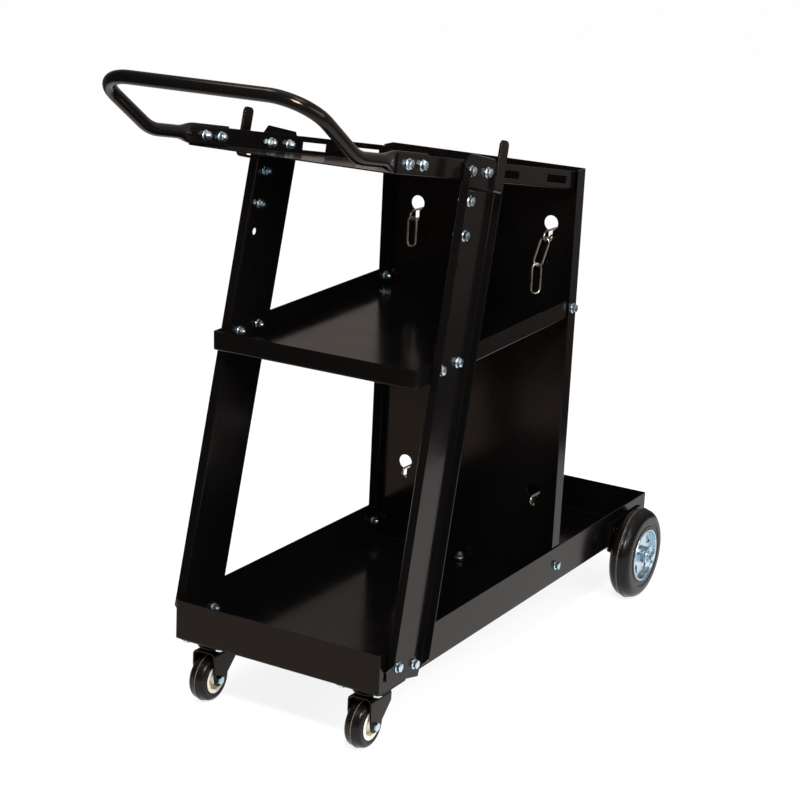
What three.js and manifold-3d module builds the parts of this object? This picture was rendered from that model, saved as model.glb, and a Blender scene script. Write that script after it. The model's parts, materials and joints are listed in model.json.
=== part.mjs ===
// A welding cart of folded sheet steel. Millimetres, +Z up. Pieces are drawn with x to the cart's
// right, y from the bottom tray's front wall towards the rear and z up from the ground.
import * as THREE from 'three';
import { mergeVertices } from 'three/addons/utils/BufferGeometryUtils.js';
import Module from 'manifold-3d';

const radians = THREE.MathUtils.degToRad;

// Shared stock and fits
const sheet = 1.5;              // thickness of every folded sheet
const seatGap = 0.3;            // space left between two pieces that touch
const boltClearance = 0.5;      // radial space of a bolt in its hole
const turnClearance = 0.4;      // radial space of a turning piece on its pin

// Hex bolts with their nuts
const boltDiameter = 8;
const boltFlats = 13;           // across the flats of head and nut
const boltHeadHeight = 5.5;
const boltFlangeDiameter = 17;
const boltFlangeHeight = 1.4;
const nutHeight = 6;
const boltTail = 3;             // thread standing out of the nut

// Front casters
const casterWheelDiameter = 62;
const casterWheelWidth = 24;
const casterTreadCrown = 1.5;   // tread edges lower than its middle
const casterShoulderRadius = 7;
const casterHubDiameter = 38;
const casterHubRecess = 4;
const casterHubRecessDiameter = 26;
const casterHubBossDiameter = 15;
const casterTrail = 12.5;       // wheel axle ahead of the swivel axis
const crownClearance = 5;       // wheel top to the underside of the fork crown
const forkSheet = 2.5;
const forkSpan = 48;            // fork crown, front to back
const forkSideClearance = 2.5;  // wheel side to fork plate
const forkEyeRadius = 9;        // plate end around the axle
const forkFrontDrop = 20;       // straight front edge of a fork plate
const forkRearDrop = 16;        // straight rear edge of a fork plate
const raceHeight = 11.4;
const raceTopDiameter = 50;
const raceFootDiameter = 40;
const kingPinDiameter = 12;
const kingPinHeadDiameter = 19;
const kingPinHeadHeight = 3;
const casterPlateSize = 66;
const casterPlateThickness = 2.5;
const casterBoltPitch = 50;
const casterBoltDiameter = 6;
const casterBoltFlats = 10;
const casterBoltHeadHeight = 4;
const casterNutHeight = 5;
const casterBoltTail = 1;       // thread standing out of a caster plate nut
const casterAxleDiameter = 8;
const casterSideInset = 34;     // swivel axis in from the tray's side
const casterSwivelY = 39;       // swivel axis behind the tray front

// Bottom tray, standing on the casters
const trayWidth = 300;
const trayLength = 773;
const trayWall = 52.5;

// Rear running gear
const rearWheelDiameter = 135;
const rearWheelWidth = 32;
const rearTreadCrown = 1.5;       // shoulders lower than the middle of the tread
const rearShoulderRadius = 13;
const rearRimDiameter = 78;
const rearRimDepth = 6;         // web set in from the tyre's side
const rearRimWall = 4;
const rearWebThickness = 4;
const rearHubLength = 38;
const rearHubDiameter = 25;
const rearWebHoles = 4;
const rearWebHoleInset = 4;
const rearWebHoleHalfAngle = 24;
const rearAxleDiameter = 12;
const rearAxleInset = 76;       // axle ahead of the tray's rear end
const rearAxleTail = 5;         // axle beyond the split pin
const axleWasherDiameter = 26;
const axleWasherThickness = 2;
const splitPinDiameter = 3;
const splitPinLength = 22;
const splitPinEye = 3.2;        // radius of the pin's round eye
const splitPinWire = 2.2;       // half-round wire bent double to make the pin
const bracketSheet = 3;
const bracketLength = 106;
const bracketEyeRadius = 14;
const bracketTopDrop = 14;      // bracket's top edge below the tray wall's top
const bracketFootDrop = 4;      // straight ends of the bracket below the tray's underside
const rivetDiameter = 8;
const rivetHeadDiameter = 14;
const rivetHeadHeight = 3;
const rivetPitch = 76;
const rivetHeight = 24;         // rivet line above the tray's underside

// Back panel
const bottleBay = 289;          // tray floor behind the panel
const panelTop = 662;
const panelFlange = 23.3;
const panelTopHoleDrop = 12;
const keyholeInset = 45.2;      // keyholes in from the panel's sides
const keyholeDiameter = 20.5;
const keyholeSlotWidth = 6;
const keyholeSlotDrop = 24;     // slot end below the round hole's centre
const keyholeUpperZ = 583;
const keyholeLowerZ = 207;

// Middle shelf
const shelfFrontY = 63;
const shelfFrontZ = 449;
const shelfPitch = 2;           // degrees, rising to the rear
const shelfWall = 24.5;

// Top tray
const topInset = 7.2;           // narrower than the bottom tray on each side
const topFrontY = 0;
const topFrontZ = 711.7;
const topTilt = 9.4;            // degrees, falling to the rear
const topWall = 24.5;
const topRearGap = 1;           // rear edge to the back panel
const windowLength = 57;
const windowHeight = 10;
const windowStarts = [247, 384];

// Uprights
const uprightFootY = 56.2;      // centre line at the foot bolts, behind the tray front
const footBoltRise = 21.6;      // foot bolts above the tray's underside
const uprightLean = 13.4;       // degrees, towards the rear
const uprightWidth = 88;
const uprightFlangeWidth = 12;
const uprightFootDrop = 16;     // web below the foot bolts
const uprightFootInset = 5;
const uprightFlangeDrop = 6;    // flanges start below the foot bolts
const uprightHeadRise = 7;      // web above the top tray's walls
const uprightHeadChamfer = 12;
const uprightBoltPitch = 41.5;
const footBoltOffset = 4;       // foot bolts behind the centre line
const deckBoltOffset = -4;      // shelf and top tray bolts, ahead of the centre line

// Cable hooks
const hookWidth = 20;
const hookThickness = 3;
const hookReach = 36;           // upper leg out from the lower leg
const hookOffset = -24;         // hook centre ahead of the upright's centre line
const hookBoltDrops = [37, 78.5]; // bolts below the top tray's bolt line
const hookSpareDrop = 114;      // free hole below them
const hookLegEnd = 9;           // lower leg beyond its lower bolt
const hookStepRise = 16;        // step above the upper bolt
const hookUpright = 60;         // upper leg above the step
const hookCornerRadius = 7;
const hookBend = 2.5;           // inside radius of the bends

// Push handle
const handleDiameter = 16;
const handleFlatThickness = 4;
const handleFlatHeight = 25;
const handleFlatLength = 72;    // flattened end inside the top tray
const handleNeck = 30;          // length over which the tube turns flat
const handleStraight = 82;      // tube ahead of the top tray
const handleLeg = 125;          // bend to the crossbar's line
const handleLift = 35;          // degrees above level
const handleKneeRadius = 72;
const handleCornerRadius = 49;
const handleBoltStarts = [24, 56];

// Bottle chains
const chainWire = 3;
const chainLinkWidth = 16;
const upperChainLinks = 9;
const upperChainSag = 128;
const lowerChainLinks = 7;
const lowerChainSag = 76;
const lowerChainSetBack = 12.5; // lower chain's slot links, towards the rear
const chainEndPlay = 1;         // a hanging end above the link it hangs on
const chainEndLean = 16;        // degrees, first hanging link of the right end
const chainEndTwist = 50;       // degrees, last hanging link of the right end

// Rounding of the drawn surfaces
const wheelSides = 32;
const casterSides = 24;
const hubSides = 24;
const tubeSides = 12;
const roundSides = 16;
const holeSides = 8;
const boltSides = 6;
const linkSides = 4;
const linkTurns = 3;
const shoulderSteps = 4;
const handleSteps = [3, 6, 6, 3];
const handleFlatSquareness = 0.65; // 0 is an ellipse, 1 a square-cornered bar

// Derived heights and half widths
const casterCrownTop = casterWheelDiameter + crownClearance + forkSheet;
const casterPlateZ = casterCrownTop + seatGap + raceHeight;
const trayZ = casterPlateZ + casterPlateThickness + seatGap;
const trayFloorZ = trayZ + sheet;
const trayTopZ = trayZ + trayWall;
const trayHalf = trayWidth / 2;
const casterSwivelX = trayHalf - casterSideInset;
const rearAxleY = trayLength - rearAxleInset;
const panelRearY = trayLength - bottleBay;
const topWidth = trayWidth - 2 * topInset;
const topHalf = topWidth / 2;
const panelHalf = trayHalf - sheet - seatGap;
const keyholeX = panelHalf - keyholeInset;
const panelFrontY = panelRearY - sheet;
const panelFlangeFrontY = panelRearY - panelFlange;
const panelBoltY = panelRearY - panelFlange / 2;
const boltRadius = boltDiameter / 2;
const boltHole = boltRadius + boltClearance;
const boltHexRadius = boltFlats / Math.sqrt(3);
const lean = radians(uprightLean);
const tilt = radians(topTilt);
const pitch = radians(shelfPitch);

const wasm = await Module();
wasm.setup();

function solid(geometry) {
  const plain = geometry.clone();
  plain.deleteAttribute('normal');
  plain.deleteAttribute('uv');
  const merged = mergeVertices(plain, 1e-4);
  return new wasm.Manifold(new wasm.Mesh({
    numProp: 3,
    vertProperties: Float32Array.from(merged.attributes.position.array),
    triVerts: Uint32Array.from(merged.index.array),
  }));
}

function drawn(body) {
  const mesh = body.getMesh();
  const geometry = new THREE.BufferGeometry();
  geometry.setAttribute('position', new THREE.BufferAttribute(mesh.vertProperties, 3));
  geometry.setIndex(new THREE.BufferAttribute(mesh.triVerts, 1));
  return geometry;
}

function join(...pieces) {
  return drawn(pieces.map(solid).reduce((whole, piece) => whole.add(piece)));
}

function cut(piece, ...tools) {
  return drawn(tools.map(solid).reduce((whole, tool) => whole.subtract(tool), solid(piece)));
}

function common(piece, other) {
  return drawn(solid(piece).intersect(solid(other)));
}

function box([x0, y0, z0], [x1, y1, z1]) {
  const geometry = new THREE.BoxGeometry(x1 - x0, y1 - y0, z1 - z0);
  return geometry.translate((x0 + x1) / 2, (y0 + y1) / 2, (z0 + z1) / 2);
}

// Cones and cylinders along one axis, with the radius at each end
function rod(axis, radii, [from, to], [across, up], sides = holeSides) {
  const [start, end] = Array.isArray(radii) ? radii : [radii, radii];
  const geometry = new THREE.CylinderGeometry(end, start, to - from, sides);
  const middle = (from + to) / 2;
  if (axis === 'x') {
    return geometry.rotateZ(-Math.PI / 2).translate(middle, across, up);
  }
  if (axis === 'y') {
    return geometry.translate(across, middle, up);
  }
  return geometry.rotateX(Math.PI / 2).translate(across, up, middle);
}

// A flat outline in the cart's side view (y, z), given a thickness along x
const sideView = new THREE.Matrix4().makeBasis(
  new THREE.Vector3(0, 1, 0), new THREE.Vector3(0, 0, 1), new THREE.Vector3(1, 0, 0));

function sidePlate(outline, [x0, x1], curveSegments = 6) {
  const shape = Array.isArray(outline)
    ? new THREE.Shape(outline.map(([y, z]) => new THREE.Vector2(y, z)))
    : outline;
  const geometry = new THREE.ExtrudeGeometry(shape, { depth: x1 - x0, bevelEnabled: false, curveSegments });
  return geometry.applyMatrix4(sideView).translate(x0, 0, 0);
}

// Angle at which the straight edge from an outside corner touches a round end
function touchAngle([y, z], [centreY, centreZ], radius, turn) {
  const away = Math.atan2(z - centreZ, y - centreY);
  return away + turn * Math.acos(radius / Math.hypot(y - centreY, z - centreZ));
}

// A tyre's shoulder as [radius, x] corners, from its flat side round to the tread
function tyreShoulder(edge, half, round) {
  return [...Array(shoulderSteps + 1).keys()].map((step) => {
    const angle = Math.PI / 2 * step / shoulderSteps;
    return [edge - round + round * Math.sin(angle), half - round + round * Math.cos(angle)];
  });
}

// A profile of [radius, x] corners, listed from the bore outwards, turned about the x axis
function turned(profile, sides) {
  const points = [...profile, profile[0]].map(([radius, x]) => new THREE.Vector2(radius, x));
  return new THREE.LatheGeometry(points.reverse(), sides).rotateZ(-Math.PI / 2);
}

function tyre(radius, half, bore, crown, round, sides) {
  const shoulder = tyreShoulder(radius - crown, half, round);
  const farShoulder = shoulder.map(([r, x]) => [r, -x]).reverse();
  return turned([[bore, -half], [bore, half], ...shoulder, [radius, 0], ...farShoulder], sides);
}

function mirrored(geometry) {
  const copy = geometry.clone().scale(-1, 1, 1);
  if (!copy.index) {
    copy.setIndex([...Array(copy.attributes.position.count).keys()]);
  }
  const index = copy.index.array;
  for (let corner = 0; corner < index.length; corner += 3) {
    [index[corner], index[corner + 1]] = [index[corner + 1], index[corner]];
  }
  return copy;
}

// Rings of points skinned into one closed body, either end to end or with flat ends
function skin(rings, loop) {
  const count = rings[0].length;
  const corners = rings.flat();
  const faces = [];
  const spans = loop ? rings.length : rings.length - 1;
  for (let ring = 0; ring < spans; ring += 1) {
    const here = ring * count;
    const there = ((ring + 1) % rings.length) * count;
    for (let side = 0; side < count; side += 1) {
      const next = (side + 1) % count;
      faces.push(here + side, here + next, there + next, here + side, there + next, there + side);
    }
  }
  if (!loop) {
    const last = (rings.length - 1) * count;
    for (let side = 1; side < count - 1; side += 1) {
      faces.push(0, side + 1, side, last, last + side, last + side + 1);
    }
  }
  const geometry = new THREE.BufferGeometry().setFromPoints(corners);
  return geometry.setIndex(faces);
}

const paint = new THREE.MeshStandardMaterial({
  name: 'black_powder_coat', color: 0x121214, roughness: 0.25, flatShading: true });
const zinc = new THREE.MeshStandardMaterial({
  name: 'bright_zinc', color: 0xc9ccd0, metalness: 1, roughness: 0.3, flatShading: true });
const nickel = new THREE.MeshStandardMaterial({
  name: 'dull_nickel', color: 0x9a938a, metalness: 1, roughness: 0.4, flatShading: true });
const rubber = new THREE.MeshStandardMaterial({
  name: 'black_rubber', color: 0x17181a, roughness: 0.8, flatShading: true });
const plastic = new THREE.MeshStandardMaterial({
  name: 'cream_plastic', color: 0xd9d2c0, roughness: 0.5, flatShading: true });

const cart = new THREE.Group();
cart.name = 'welding_cart';

function piece(name, geometry, material, parent = cart) {
  const mesh = new THREE.Mesh(geometry, material);
  mesh.name = name;
  parent.add(mesh);
  return mesh;
}

// Side-view points on the sloping top tray, the shelf and the leaning uprights
function onTop(s, h) {
  return [
    topFrontY + s * Math.cos(tilt) + h * Math.sin(tilt),
    topFrontZ - s * Math.sin(tilt) + h * Math.cos(tilt),
  ];
}

function onShelf(t, h) {
  return [
    shelfFrontY + t * Math.cos(pitch) - h * Math.sin(pitch),
    shelfFrontZ + t * Math.sin(pitch) + h * Math.cos(pitch),
  ];
}

const footBoltZ = trayZ + footBoltRise;

function onUpright(u, v) {
  return [
    uprightFootY + u * Math.cos(lean) + v * Math.sin(lean),
    footBoltZ - u * Math.sin(lean) + v * Math.cos(lean),
  ];
}

// Distance along a line from its start to where the upright's centre line crosses it
function crossing([y, z], angle) {
  const across = (uprightFootY - y) * Math.cos(lean) - (footBoltZ - z) * Math.sin(lean);
  return across / Math.cos(lean + angle);
}

const topCrossingS = crossing(onTop(0, topWall / 2), -tilt);
const topCrossingY = onTop(topCrossingS, topWall / 2)[0];
const topCrossingV = (topCrossingY - uprightFootY) / Math.sin(lean);
const shelfCrossingT = crossing(onShelf(0, shelfWall / 2), pitch);
const boltOffsets = [-uprightBoltPitch / 2, uprightBoltPitch / 2];
const topBolts = boltOffsets.map((offset) => [topCrossingS + deckBoltOffset + offset, topWall / 2]);
const shelfBolts = boltOffsets.map((offset) => [shelfCrossingT + deckBoltOffset + offset, shelfWall / 2]);
const footBolts = boltOffsets.map((offset) => onUpright(footBoltOffset + offset, 0));
const headV = topCrossingV + topWall / 2 + uprightHeadRise;
const headZ = onUpright(0, headV)[1];

// The uprights lean inwards from the bottom tray's walls to the narrower top tray's walls
const inwardLean = (trayHalf - topHalf) / (headZ - trayTopZ);

function webX(z) {
  return trayHalf + seatGap - inwardLean * (z - trayTopZ);
}

const shelfHalf = webX(onShelf(shelfCrossingT, shelfWall)[1]) - seatGap;

function leanInwards(geometry) {
  const shear = new THREE.Matrix4().makeShear(0, 0, 0, 0, -inwardLean, 0);
  return geometry.applyMatrix4(shear).translate(webX(0), 0, 0);
}

// Bolts lie along x with the head's seat at zero and the head towards +x
function boltGeometry(grip) {
  const nutEnd = -grip - nutHeight;
  return join(
    rod('x', boltFlangeDiameter / 2, [0, boltFlangeHeight], [0, 0], boltSides),
    rod('x', boltHexRadius, [0, boltHeadHeight], [0, 0], boltSides),
    rod('x', boltRadius, [nutEnd - boltTail, boltHeadHeight / 2], [0, 0], boltSides),
    rod('x', boltHexRadius, [nutEnd, -grip], [0, 0], boltSides));
}

// One bolt from the outer face at x = outside to the inner face at x = inside, on both sides
function boltPair(name, outside, inside, [y, z]) {
  const geometry = boltGeometry(outside - inside + 2 * seatGap);
  const right = piece(`right_${name}`, geometry, zinc);
  right.position.set(outside + seatGap, y, z);
  const left = piece(`left_${name}`, geometry.clone(), zinc);
  left.position.set(-outside - seatGap, y, z);
  left.rotation.z = Math.PI;
}

function throughHoles(points, half, radius = boltHole) {
  return points.map((point) => rod('x', radius, [-half - sheet, half + sheet], point));
}

// Bottom tray
const casterSites = [[-casterSwivelX, casterSwivelY], [casterSwivelX, casterSwivelY]];
const casterBoltOffsets = [-casterBoltPitch / 2, casterBoltPitch / 2];
const casterBoltSites = casterSites.flatMap(([x, y]) => casterBoltOffsets.flatMap((across) => (
  casterBoltOffsets.map((along) => [x + across, y + along]))));
const panelTrayBolt = [panelBoltY, trayZ + trayWall / 2];
const panelFloorBolt = [0, panelFrontY - panelFlange / 2];
const rivetSites = [-rivetPitch / 2, rivetPitch / 2].map((offset) => (
  [rearAxleY + offset, trayZ + rivetHeight]));
const trayPan = join(
  box([-trayHalf, 0, trayZ], [trayHalf, trayLength, trayFloorZ]),
  box([-trayHalf, 0, trayZ], [sheet - trayHalf, trayLength, trayTopZ]),
  box([trayHalf - sheet, 0, trayZ], [trayHalf, trayLength, trayTopZ]),
  box([-trayHalf, 0, trayZ], [trayHalf, sheet, trayTopZ]),
  box([-trayHalf, trayLength - sheet, trayZ], [trayHalf, trayLength, trayTopZ]));
piece('bottom_tray', cut(
  trayPan,
  ...throughHoles([...footBolts, panelTrayBolt], trayHalf),
  ...throughHoles(rivetSites, trayHalf, rivetDiameter / 2 + boltClearance),
  rod('z', boltHole, [trayZ - sheet, trayFloorZ + sheet], panelFloorBolt),
  ...casterBoltSites.map((site) => (
    rod('z', casterBoltDiameter / 2 + boltClearance, [trayZ - sheet, trayFloorZ + sheet], site)))), paint);

// Back panel, standing inside the tray's walls
const panelFootZ = trayFloorZ + seatGap;
const shelfRearT = (panelFrontY - seatGap - shelfFrontY) / Math.cos(pitch);
const panelShelfBoltT = (panelBoltY - shelfFrontY) / Math.cos(pitch);
const panelShelfBolt = onShelf(panelShelfBoltT, shelfWall / 2);
const keyholes = [-keyholeX, keyholeX].flatMap((x) => [keyholeUpperZ, keyholeLowerZ].map((z) => [x, z]));
const keyholeDepth = [panelFrontY - sheet, panelRearY + sheet];
const keyholeTools = keyholes.flatMap(([x, z]) => {
  const slotHalf = keyholeSlotWidth / 2;
  const slotEndCentre = z - keyholeSlotDrop + slotHalf;
  return [
    rod('y', keyholeDiameter / 2, keyholeDepth, [x, z], roundSides),
    box([x - slotHalf, keyholeDepth[0], slotEndCentre], [x + slotHalf, keyholeDepth[1], z]),
    rod('y', slotHalf, keyholeDepth, [x, slotEndCentre]),
  ];
});
const panelSheet = join(
  box([-panelHalf, panelFrontY, panelFootZ], [panelHalf, panelRearY, panelTop]),
  box([-panelHalf, panelFlangeFrontY, panelFootZ], [sheet - panelHalf, panelRearY, panelTop]),
  box([panelHalf - sheet, panelFlangeFrontY, panelFootZ], [panelHalf, panelRearY, panelTop]),
  box([-panelHalf, panelFlangeFrontY, panelFootZ], [panelHalf, panelRearY, panelFootZ + sheet]));
piece('back_panel', cut(
  panelSheet,
  ...keyholeTools,
  ...throughHoles([panelTrayBolt, panelShelfBolt, [panelBoltY, panelTop - panelTopHoleDrop]], panelHalf),
  rod('z', boltHole, [panelFootZ - sheet, panelFootZ + 2 * sheet], panelFloorBolt)), paint);

// Middle shelf, drawn level and pitched about its lower front edge
const shelfPan = join(
  box([-shelfHalf, 0, 0], [shelfHalf, shelfRearT, sheet]),
  box([-shelfHalf, 0, 0], [sheet - shelfHalf, shelfRearT, shelfWall]),
  box([shelfHalf - sheet, 0, 0], [shelfHalf, shelfRearT, shelfWall]),
  box([-shelfHalf, 0, 0], [shelfHalf, sheet, shelfWall]));
const shelf = piece('mid_shelf', cut(
  shelfPan,
  ...throughHoles([...shelfBolts, [panelShelfBoltT, shelfWall / 2]], shelfHalf)), paint);
shelf.position.set(0, shelfFrontY, shelfFrontZ);
shelf.rotation.x = pitch;

// Top tray, drawn level and tilted about its lower front edge
const topLength = (panelFrontY - topRearGap - topFrontY - topWall * Math.sin(tilt)) / Math.cos(tilt);
const handleH = sheet + seatGap + handleFlatHeight / 2;
const handleBolts = handleBoltStarts.map((start) => [start, (topWall / 2 + handleH) / 2]);
const windowFoot = (topWall - windowHeight) / 2;
const topPan = join(
  box([-topHalf, 0, 0], [topHalf, topLength, sheet]),
  box([-topHalf, 0, 0], [sheet - topHalf, topLength, topWall]),
  box([topHalf - sheet, 0, 0], [topHalf, topLength, topWall]));
const topTray = piece('top_tray', cut(
  topPan,
  ...throughHoles([...topBolts, ...handleBolts], topHalf),
  ...windowStarts.map((start) => box(
    [-topHalf - sheet, start, windowFoot],
    [topHalf + sheet, start + windowLength, windowFoot + windowHeight]))), paint);
topTray.position.set(0, topFrontY, topFrontZ);
topTray.rotation.x = -tilt;

// Uprights, drawn standing with the centre line's foot at the origin and the web's inner face at x = 0
const halfWeb = uprightWidth / 2;
const footHalf = halfWeb - uprightFootInset;
const flangeTopV = headV - uprightHeadChamfer;
const webOutline = [
  [-footHalf, -uprightFootDrop],
  [footHalf, -uprightFootDrop],
  [footHalf, -uprightFlangeDrop],
  [halfWeb, -uprightFlangeDrop],
  [halfWeb, flangeTopV],
  [halfWeb - uprightHeadChamfer, headV],
  [uprightHeadChamfer - halfWeb, headV],
  [-halfWeb, flangeTopV],
  [-halfWeb, -uprightFlangeDrop],
  [-footHalf, -uprightFlangeDrop],
];

// A flange standing out from the web, its ends cut at 45 degrees, longest at the web
function uprightFlange(frontU) {
  const width = uprightFlangeWidth;
  const outline = new THREE.Shape([
    new THREE.Vector2(0, -flangeTopV),
    new THREE.Vector2(width, width - flangeTopV),
    new THREE.Vector2(width, uprightFlangeDrop - width),
    new THREE.Vector2(0, uprightFlangeDrop),
  ]);
  const geometry = new THREE.ExtrudeGeometry(outline, { depth: sheet, bevelEnabled: false });
  return geometry.rotateX(-Math.PI / 2).translate(0, frontU, 0);
}

function uprightHole(u, v) {
  return rod('x', boltHole, [-sheet, 2 * sheet], [u, v]);
}

const hookBoltVs = hookBoltDrops.map((drop) => topCrossingV - drop);

// A bolt's place on the upright from its place in the side view
function uprightPlace([y, z]) {
  const rearward = y - uprightFootY;
  const upward = z - footBoltZ;
  return [
    rearward * Math.cos(lean) - upward * Math.sin(lean),
    rearward * Math.sin(lean) + upward * Math.cos(lean),
  ];
}

const uprightHoles = [
  ...footBolts,
  ...shelfBolts.map(([t, h]) => onShelf(t, h)),
  ...topBolts.map(([s, h]) => onTop(s, h)),
  ...[...hookBoltVs, topCrossingV - hookSpareDrop].map((v) => onUpright(hookOffset, v)),
].map((point) => uprightHole(...uprightPlace(point)));

const channel = cut(
  join(sidePlate(webOutline, [0, sheet]), uprightFlange(-halfWeb), uprightFlange(halfWeb - sheet)),
  ...uprightHoles);
const rightUpright = leanInwards(channel.rotateX(-lean).translate(0, uprightFootY, footBoltZ));
piece('right_upright', rightUpright, paint);
piece('left_upright', mirrored(rightUpright), paint);

// Cable hooks, flat bar bent out and up, lying on the web's outer face
const hookSeat = sheet + seatGap;
const hookStepV = hookBoltVs[0] + hookStepRise;
const hookFootV = hookBoltVs[1] - hookLegEnd;
const hookTopV = hookStepV + hookUpright;

function hookProfile() {
  const outer = hookBend + hookThickness;
  const profile = new THREE.Shape();
  profile.moveTo(0, hookFootV);
  profile.lineTo(hookThickness, hookFootV);
  profile.lineTo(hookThickness, hookStepV - outer);
  profile.absarc(outer, hookStepV - outer, hookBend, Math.PI, Math.PI / 2, true);
  profile.lineTo(hookReach - hookBend, hookStepV - hookThickness);
  profile.absarc(hookReach - hookBend, hookStepV + hookBend, outer, -Math.PI / 2, 0, false);
  profile.lineTo(hookReach + hookThickness, hookTopV);
  profile.lineTo(hookReach, hookTopV);
  profile.lineTo(hookReach, hookStepV + hookBend);
  profile.absarc(hookReach - hookBend, hookStepV + hookBend, hookBend, 0, -Math.PI / 2, true);
  profile.lineTo(outer, hookStepV);
  profile.absarc(outer, hookStepV - outer, outer, Math.PI / 2, Math.PI, false);
  profile.closePath();
  return profile;
}

function roundedOutline([u0, v0], [u1, v1], radius) {
  const outline = new THREE.Shape();
  outline.moveTo(u0 + radius, v0);
  outline.lineTo(u1 - radius, v0);
  outline.absarc(u1 - radius, v0 + radius, radius, -Math.PI / 2, 0, false);
  outline.lineTo(u1, v1 - radius);
  outline.absarc(u1 - radius, v1 - radius, radius, 0, Math.PI / 2, false);
  outline.lineTo(u0 + radius, v1);
  outline.absarc(u0 + radius, v1 - radius, radius, Math.PI / 2, Math.PI, false);
  outline.lineTo(u0, v0 + radius);
  outline.absarc(u0 + radius, v0 + radius, radius, Math.PI, 1.5 * Math.PI, false);
  outline.closePath();
  return outline;
}

const hookBar = new THREE.ExtrudeGeometry(
  hookProfile(), { depth: hookWidth, bevelEnabled: false, curveSegments: 4 })
  .rotateX(Math.PI / 2)
  .translate(0, hookOffset + hookWidth / 2, 0);
const hookFace = sidePlate(
  roundedOutline(
    [hookOffset - hookWidth / 2, hookFootV], [hookOffset + hookWidth / 2, hookTopV], hookCornerRadius),
  [-sheet, hookReach + hookThickness + sheet], 4);
const hookHoles = hookBoltVs.map((v) => rod('x', boltHole, [-sheet, hookThickness + sheet], [hookOffset, v]));
const hook = cut(common(hookBar, hookFace), ...hookHoles).translate(hookSeat, 0, 0);
const rightHook = leanInwards(hook.rotateX(-lean).translate(0, uprightFootY, footBoltZ));
piece('right_cable_hook', rightHook, paint);
piece('left_cable_hook', mirrored(rightHook), paint);

// Push handle, one tube from the left wall of the top tray round to the right wall
const handleX = topHalf - sheet - seatGap - handleFlatThickness / 2;
const handleEnd = onTop(handleFlatLength, handleH);
const handleKnee = onTop(-handleStraight, handleH);
const lift = radians(handleLift);
const handleCorner = [handleKnee[0] - handleLeg * Math.cos(lift), handleKnee[1] + handleLeg * Math.sin(lift)];

// Points of a rounded corner between two straight runs, with the tangent at each
function bend(before, corner, after, radius, steps) {
  const incoming = new THREE.Vector3().subVectors(corner, before).normalize();
  const outgoing = new THREE.Vector3().subVectors(after, corner).normalize();
  const turn = incoming.angleTo(outgoing);
  const reach = radius * Math.tan(turn / 2);
  const start = corner.clone().addScaledVector(incoming, -reach);
  const inward = outgoing.clone().addScaledVector(incoming, -incoming.dot(outgoing)).normalize();
  return [...Array(steps + 1).keys()].map((step) => {
    const angle = turn * step / steps;
    const at = start.clone()
      .addScaledVector(incoming, radius * Math.sin(angle))
      .addScaledVector(inward, radius * (1 - Math.cos(angle)));
    const tangent = incoming.clone().multiplyScalar(Math.cos(angle)).addScaledVector(inward, Math.sin(angle));
    return { at, tangent, flat: 0 };
  });
}

const handleCorners = [
  new THREE.Vector3(-handleX, ...handleEnd),
  new THREE.Vector3(-handleX, ...handleKnee),
  new THREE.Vector3(-handleX, ...handleCorner),
  new THREE.Vector3(handleX, ...handleCorner),
  new THREE.Vector3(handleX, ...handleKnee),
  new THREE.Vector3(handleX, ...handleEnd),
];
const handleRadii = [handleKneeRadius, handleCornerRadius, handleCornerRadius, handleKneeRadius];

// The tube's ends: flat inside the tray, round again one neck length ahead of it
function flatEnd(end, knee) {
  const tangent = new THREE.Vector3().subVectors(knee, end).normalize();
  const neckEnd = handleFlatLength + handleNeck;
  return [0, handleFlatLength, handleFlatLength + handleNeck / 2, neckEnd].map((along) => ({
    at: end.clone().addScaledVector(tangent, along),
    tangent,
    flat: 1 - THREE.MathUtils.smoothstep(along, handleFlatLength, neckEnd),
  }));
}

const leftEnd = flatEnd(handleCorners[0], handleCorners[1]);
const rightEnd = flatEnd(handleCorners[5], handleCorners[4]).reverse();
const handleStations = [
  ...leftEnd,
  ...handleRadii.flatMap((radius, bendIndex) => bend(
    handleCorners[bendIndex], handleCorners[bendIndex + 1], handleCorners[bendIndex + 2],
    radius, handleSteps[bendIndex])),
  ...rightEnd.map(({ at, tangent, flat }) => ({ at, tangent: tangent.clone().negate(), flat })),
];

// Each ring stands across the tube; its wide direction stays in the plane of the side runs
const sideAxis = new THREE.Vector3(1, 0, 0);
const legAxis = new THREE.Vector3().subVectors(handleCorners[2], handleCorners[1]).normalize();
const barUp = new THREE.Vector3().crossVectors(sideAxis, legAxis);

function handleRing({ at, tangent, flat }) {
  const alongSide = Math.abs(tangent.x) < 1e-6;
  const up = alongSide
    ? new THREE.Vector3().crossVectors(sideAxis, tangent).multiplyScalar(Math.sign(barUp.dot(
      new THREE.Vector3().crossVectors(sideAxis, tangent))))
    : barUp.clone();
  const across = new THREE.Vector3().crossVectors(up, tangent).normalize();
  const halfHeight = THREE.MathUtils.lerp(handleDiameter, handleFlatHeight, flat) / 2;
  const halfThick = THREE.MathUtils.lerp(handleDiameter, handleFlatThickness, flat) / 2;
  return [...Array(tubeSides).keys()].map((side) => {
    const angle = -2 * Math.PI * (side + 0.5) / tubeSides;
    const rounding = 1 - handleFlatSquareness * flat;
    const height = Math.sign(Math.cos(angle)) * Math.abs(Math.cos(angle)) ** rounding * halfHeight;
    const thick = Math.sign(Math.sin(angle)) * Math.abs(Math.sin(angle)) ** rounding * halfThick;
    return at.clone().addScaledVector(up, height).addScaledVector(across, thick);
  });
}

const handleHoles = handleBolts.flatMap(([s, h]) => {
  const span = handleFlatThickness;
  return [-handleX, handleX].map((x) => rod('x', boltHole, [x - span, x + span], onTop(s, h)));
});
piece('push_handle', cut(skin(handleStations.map(handleRing), false), ...handleHoles), paint);

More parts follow.
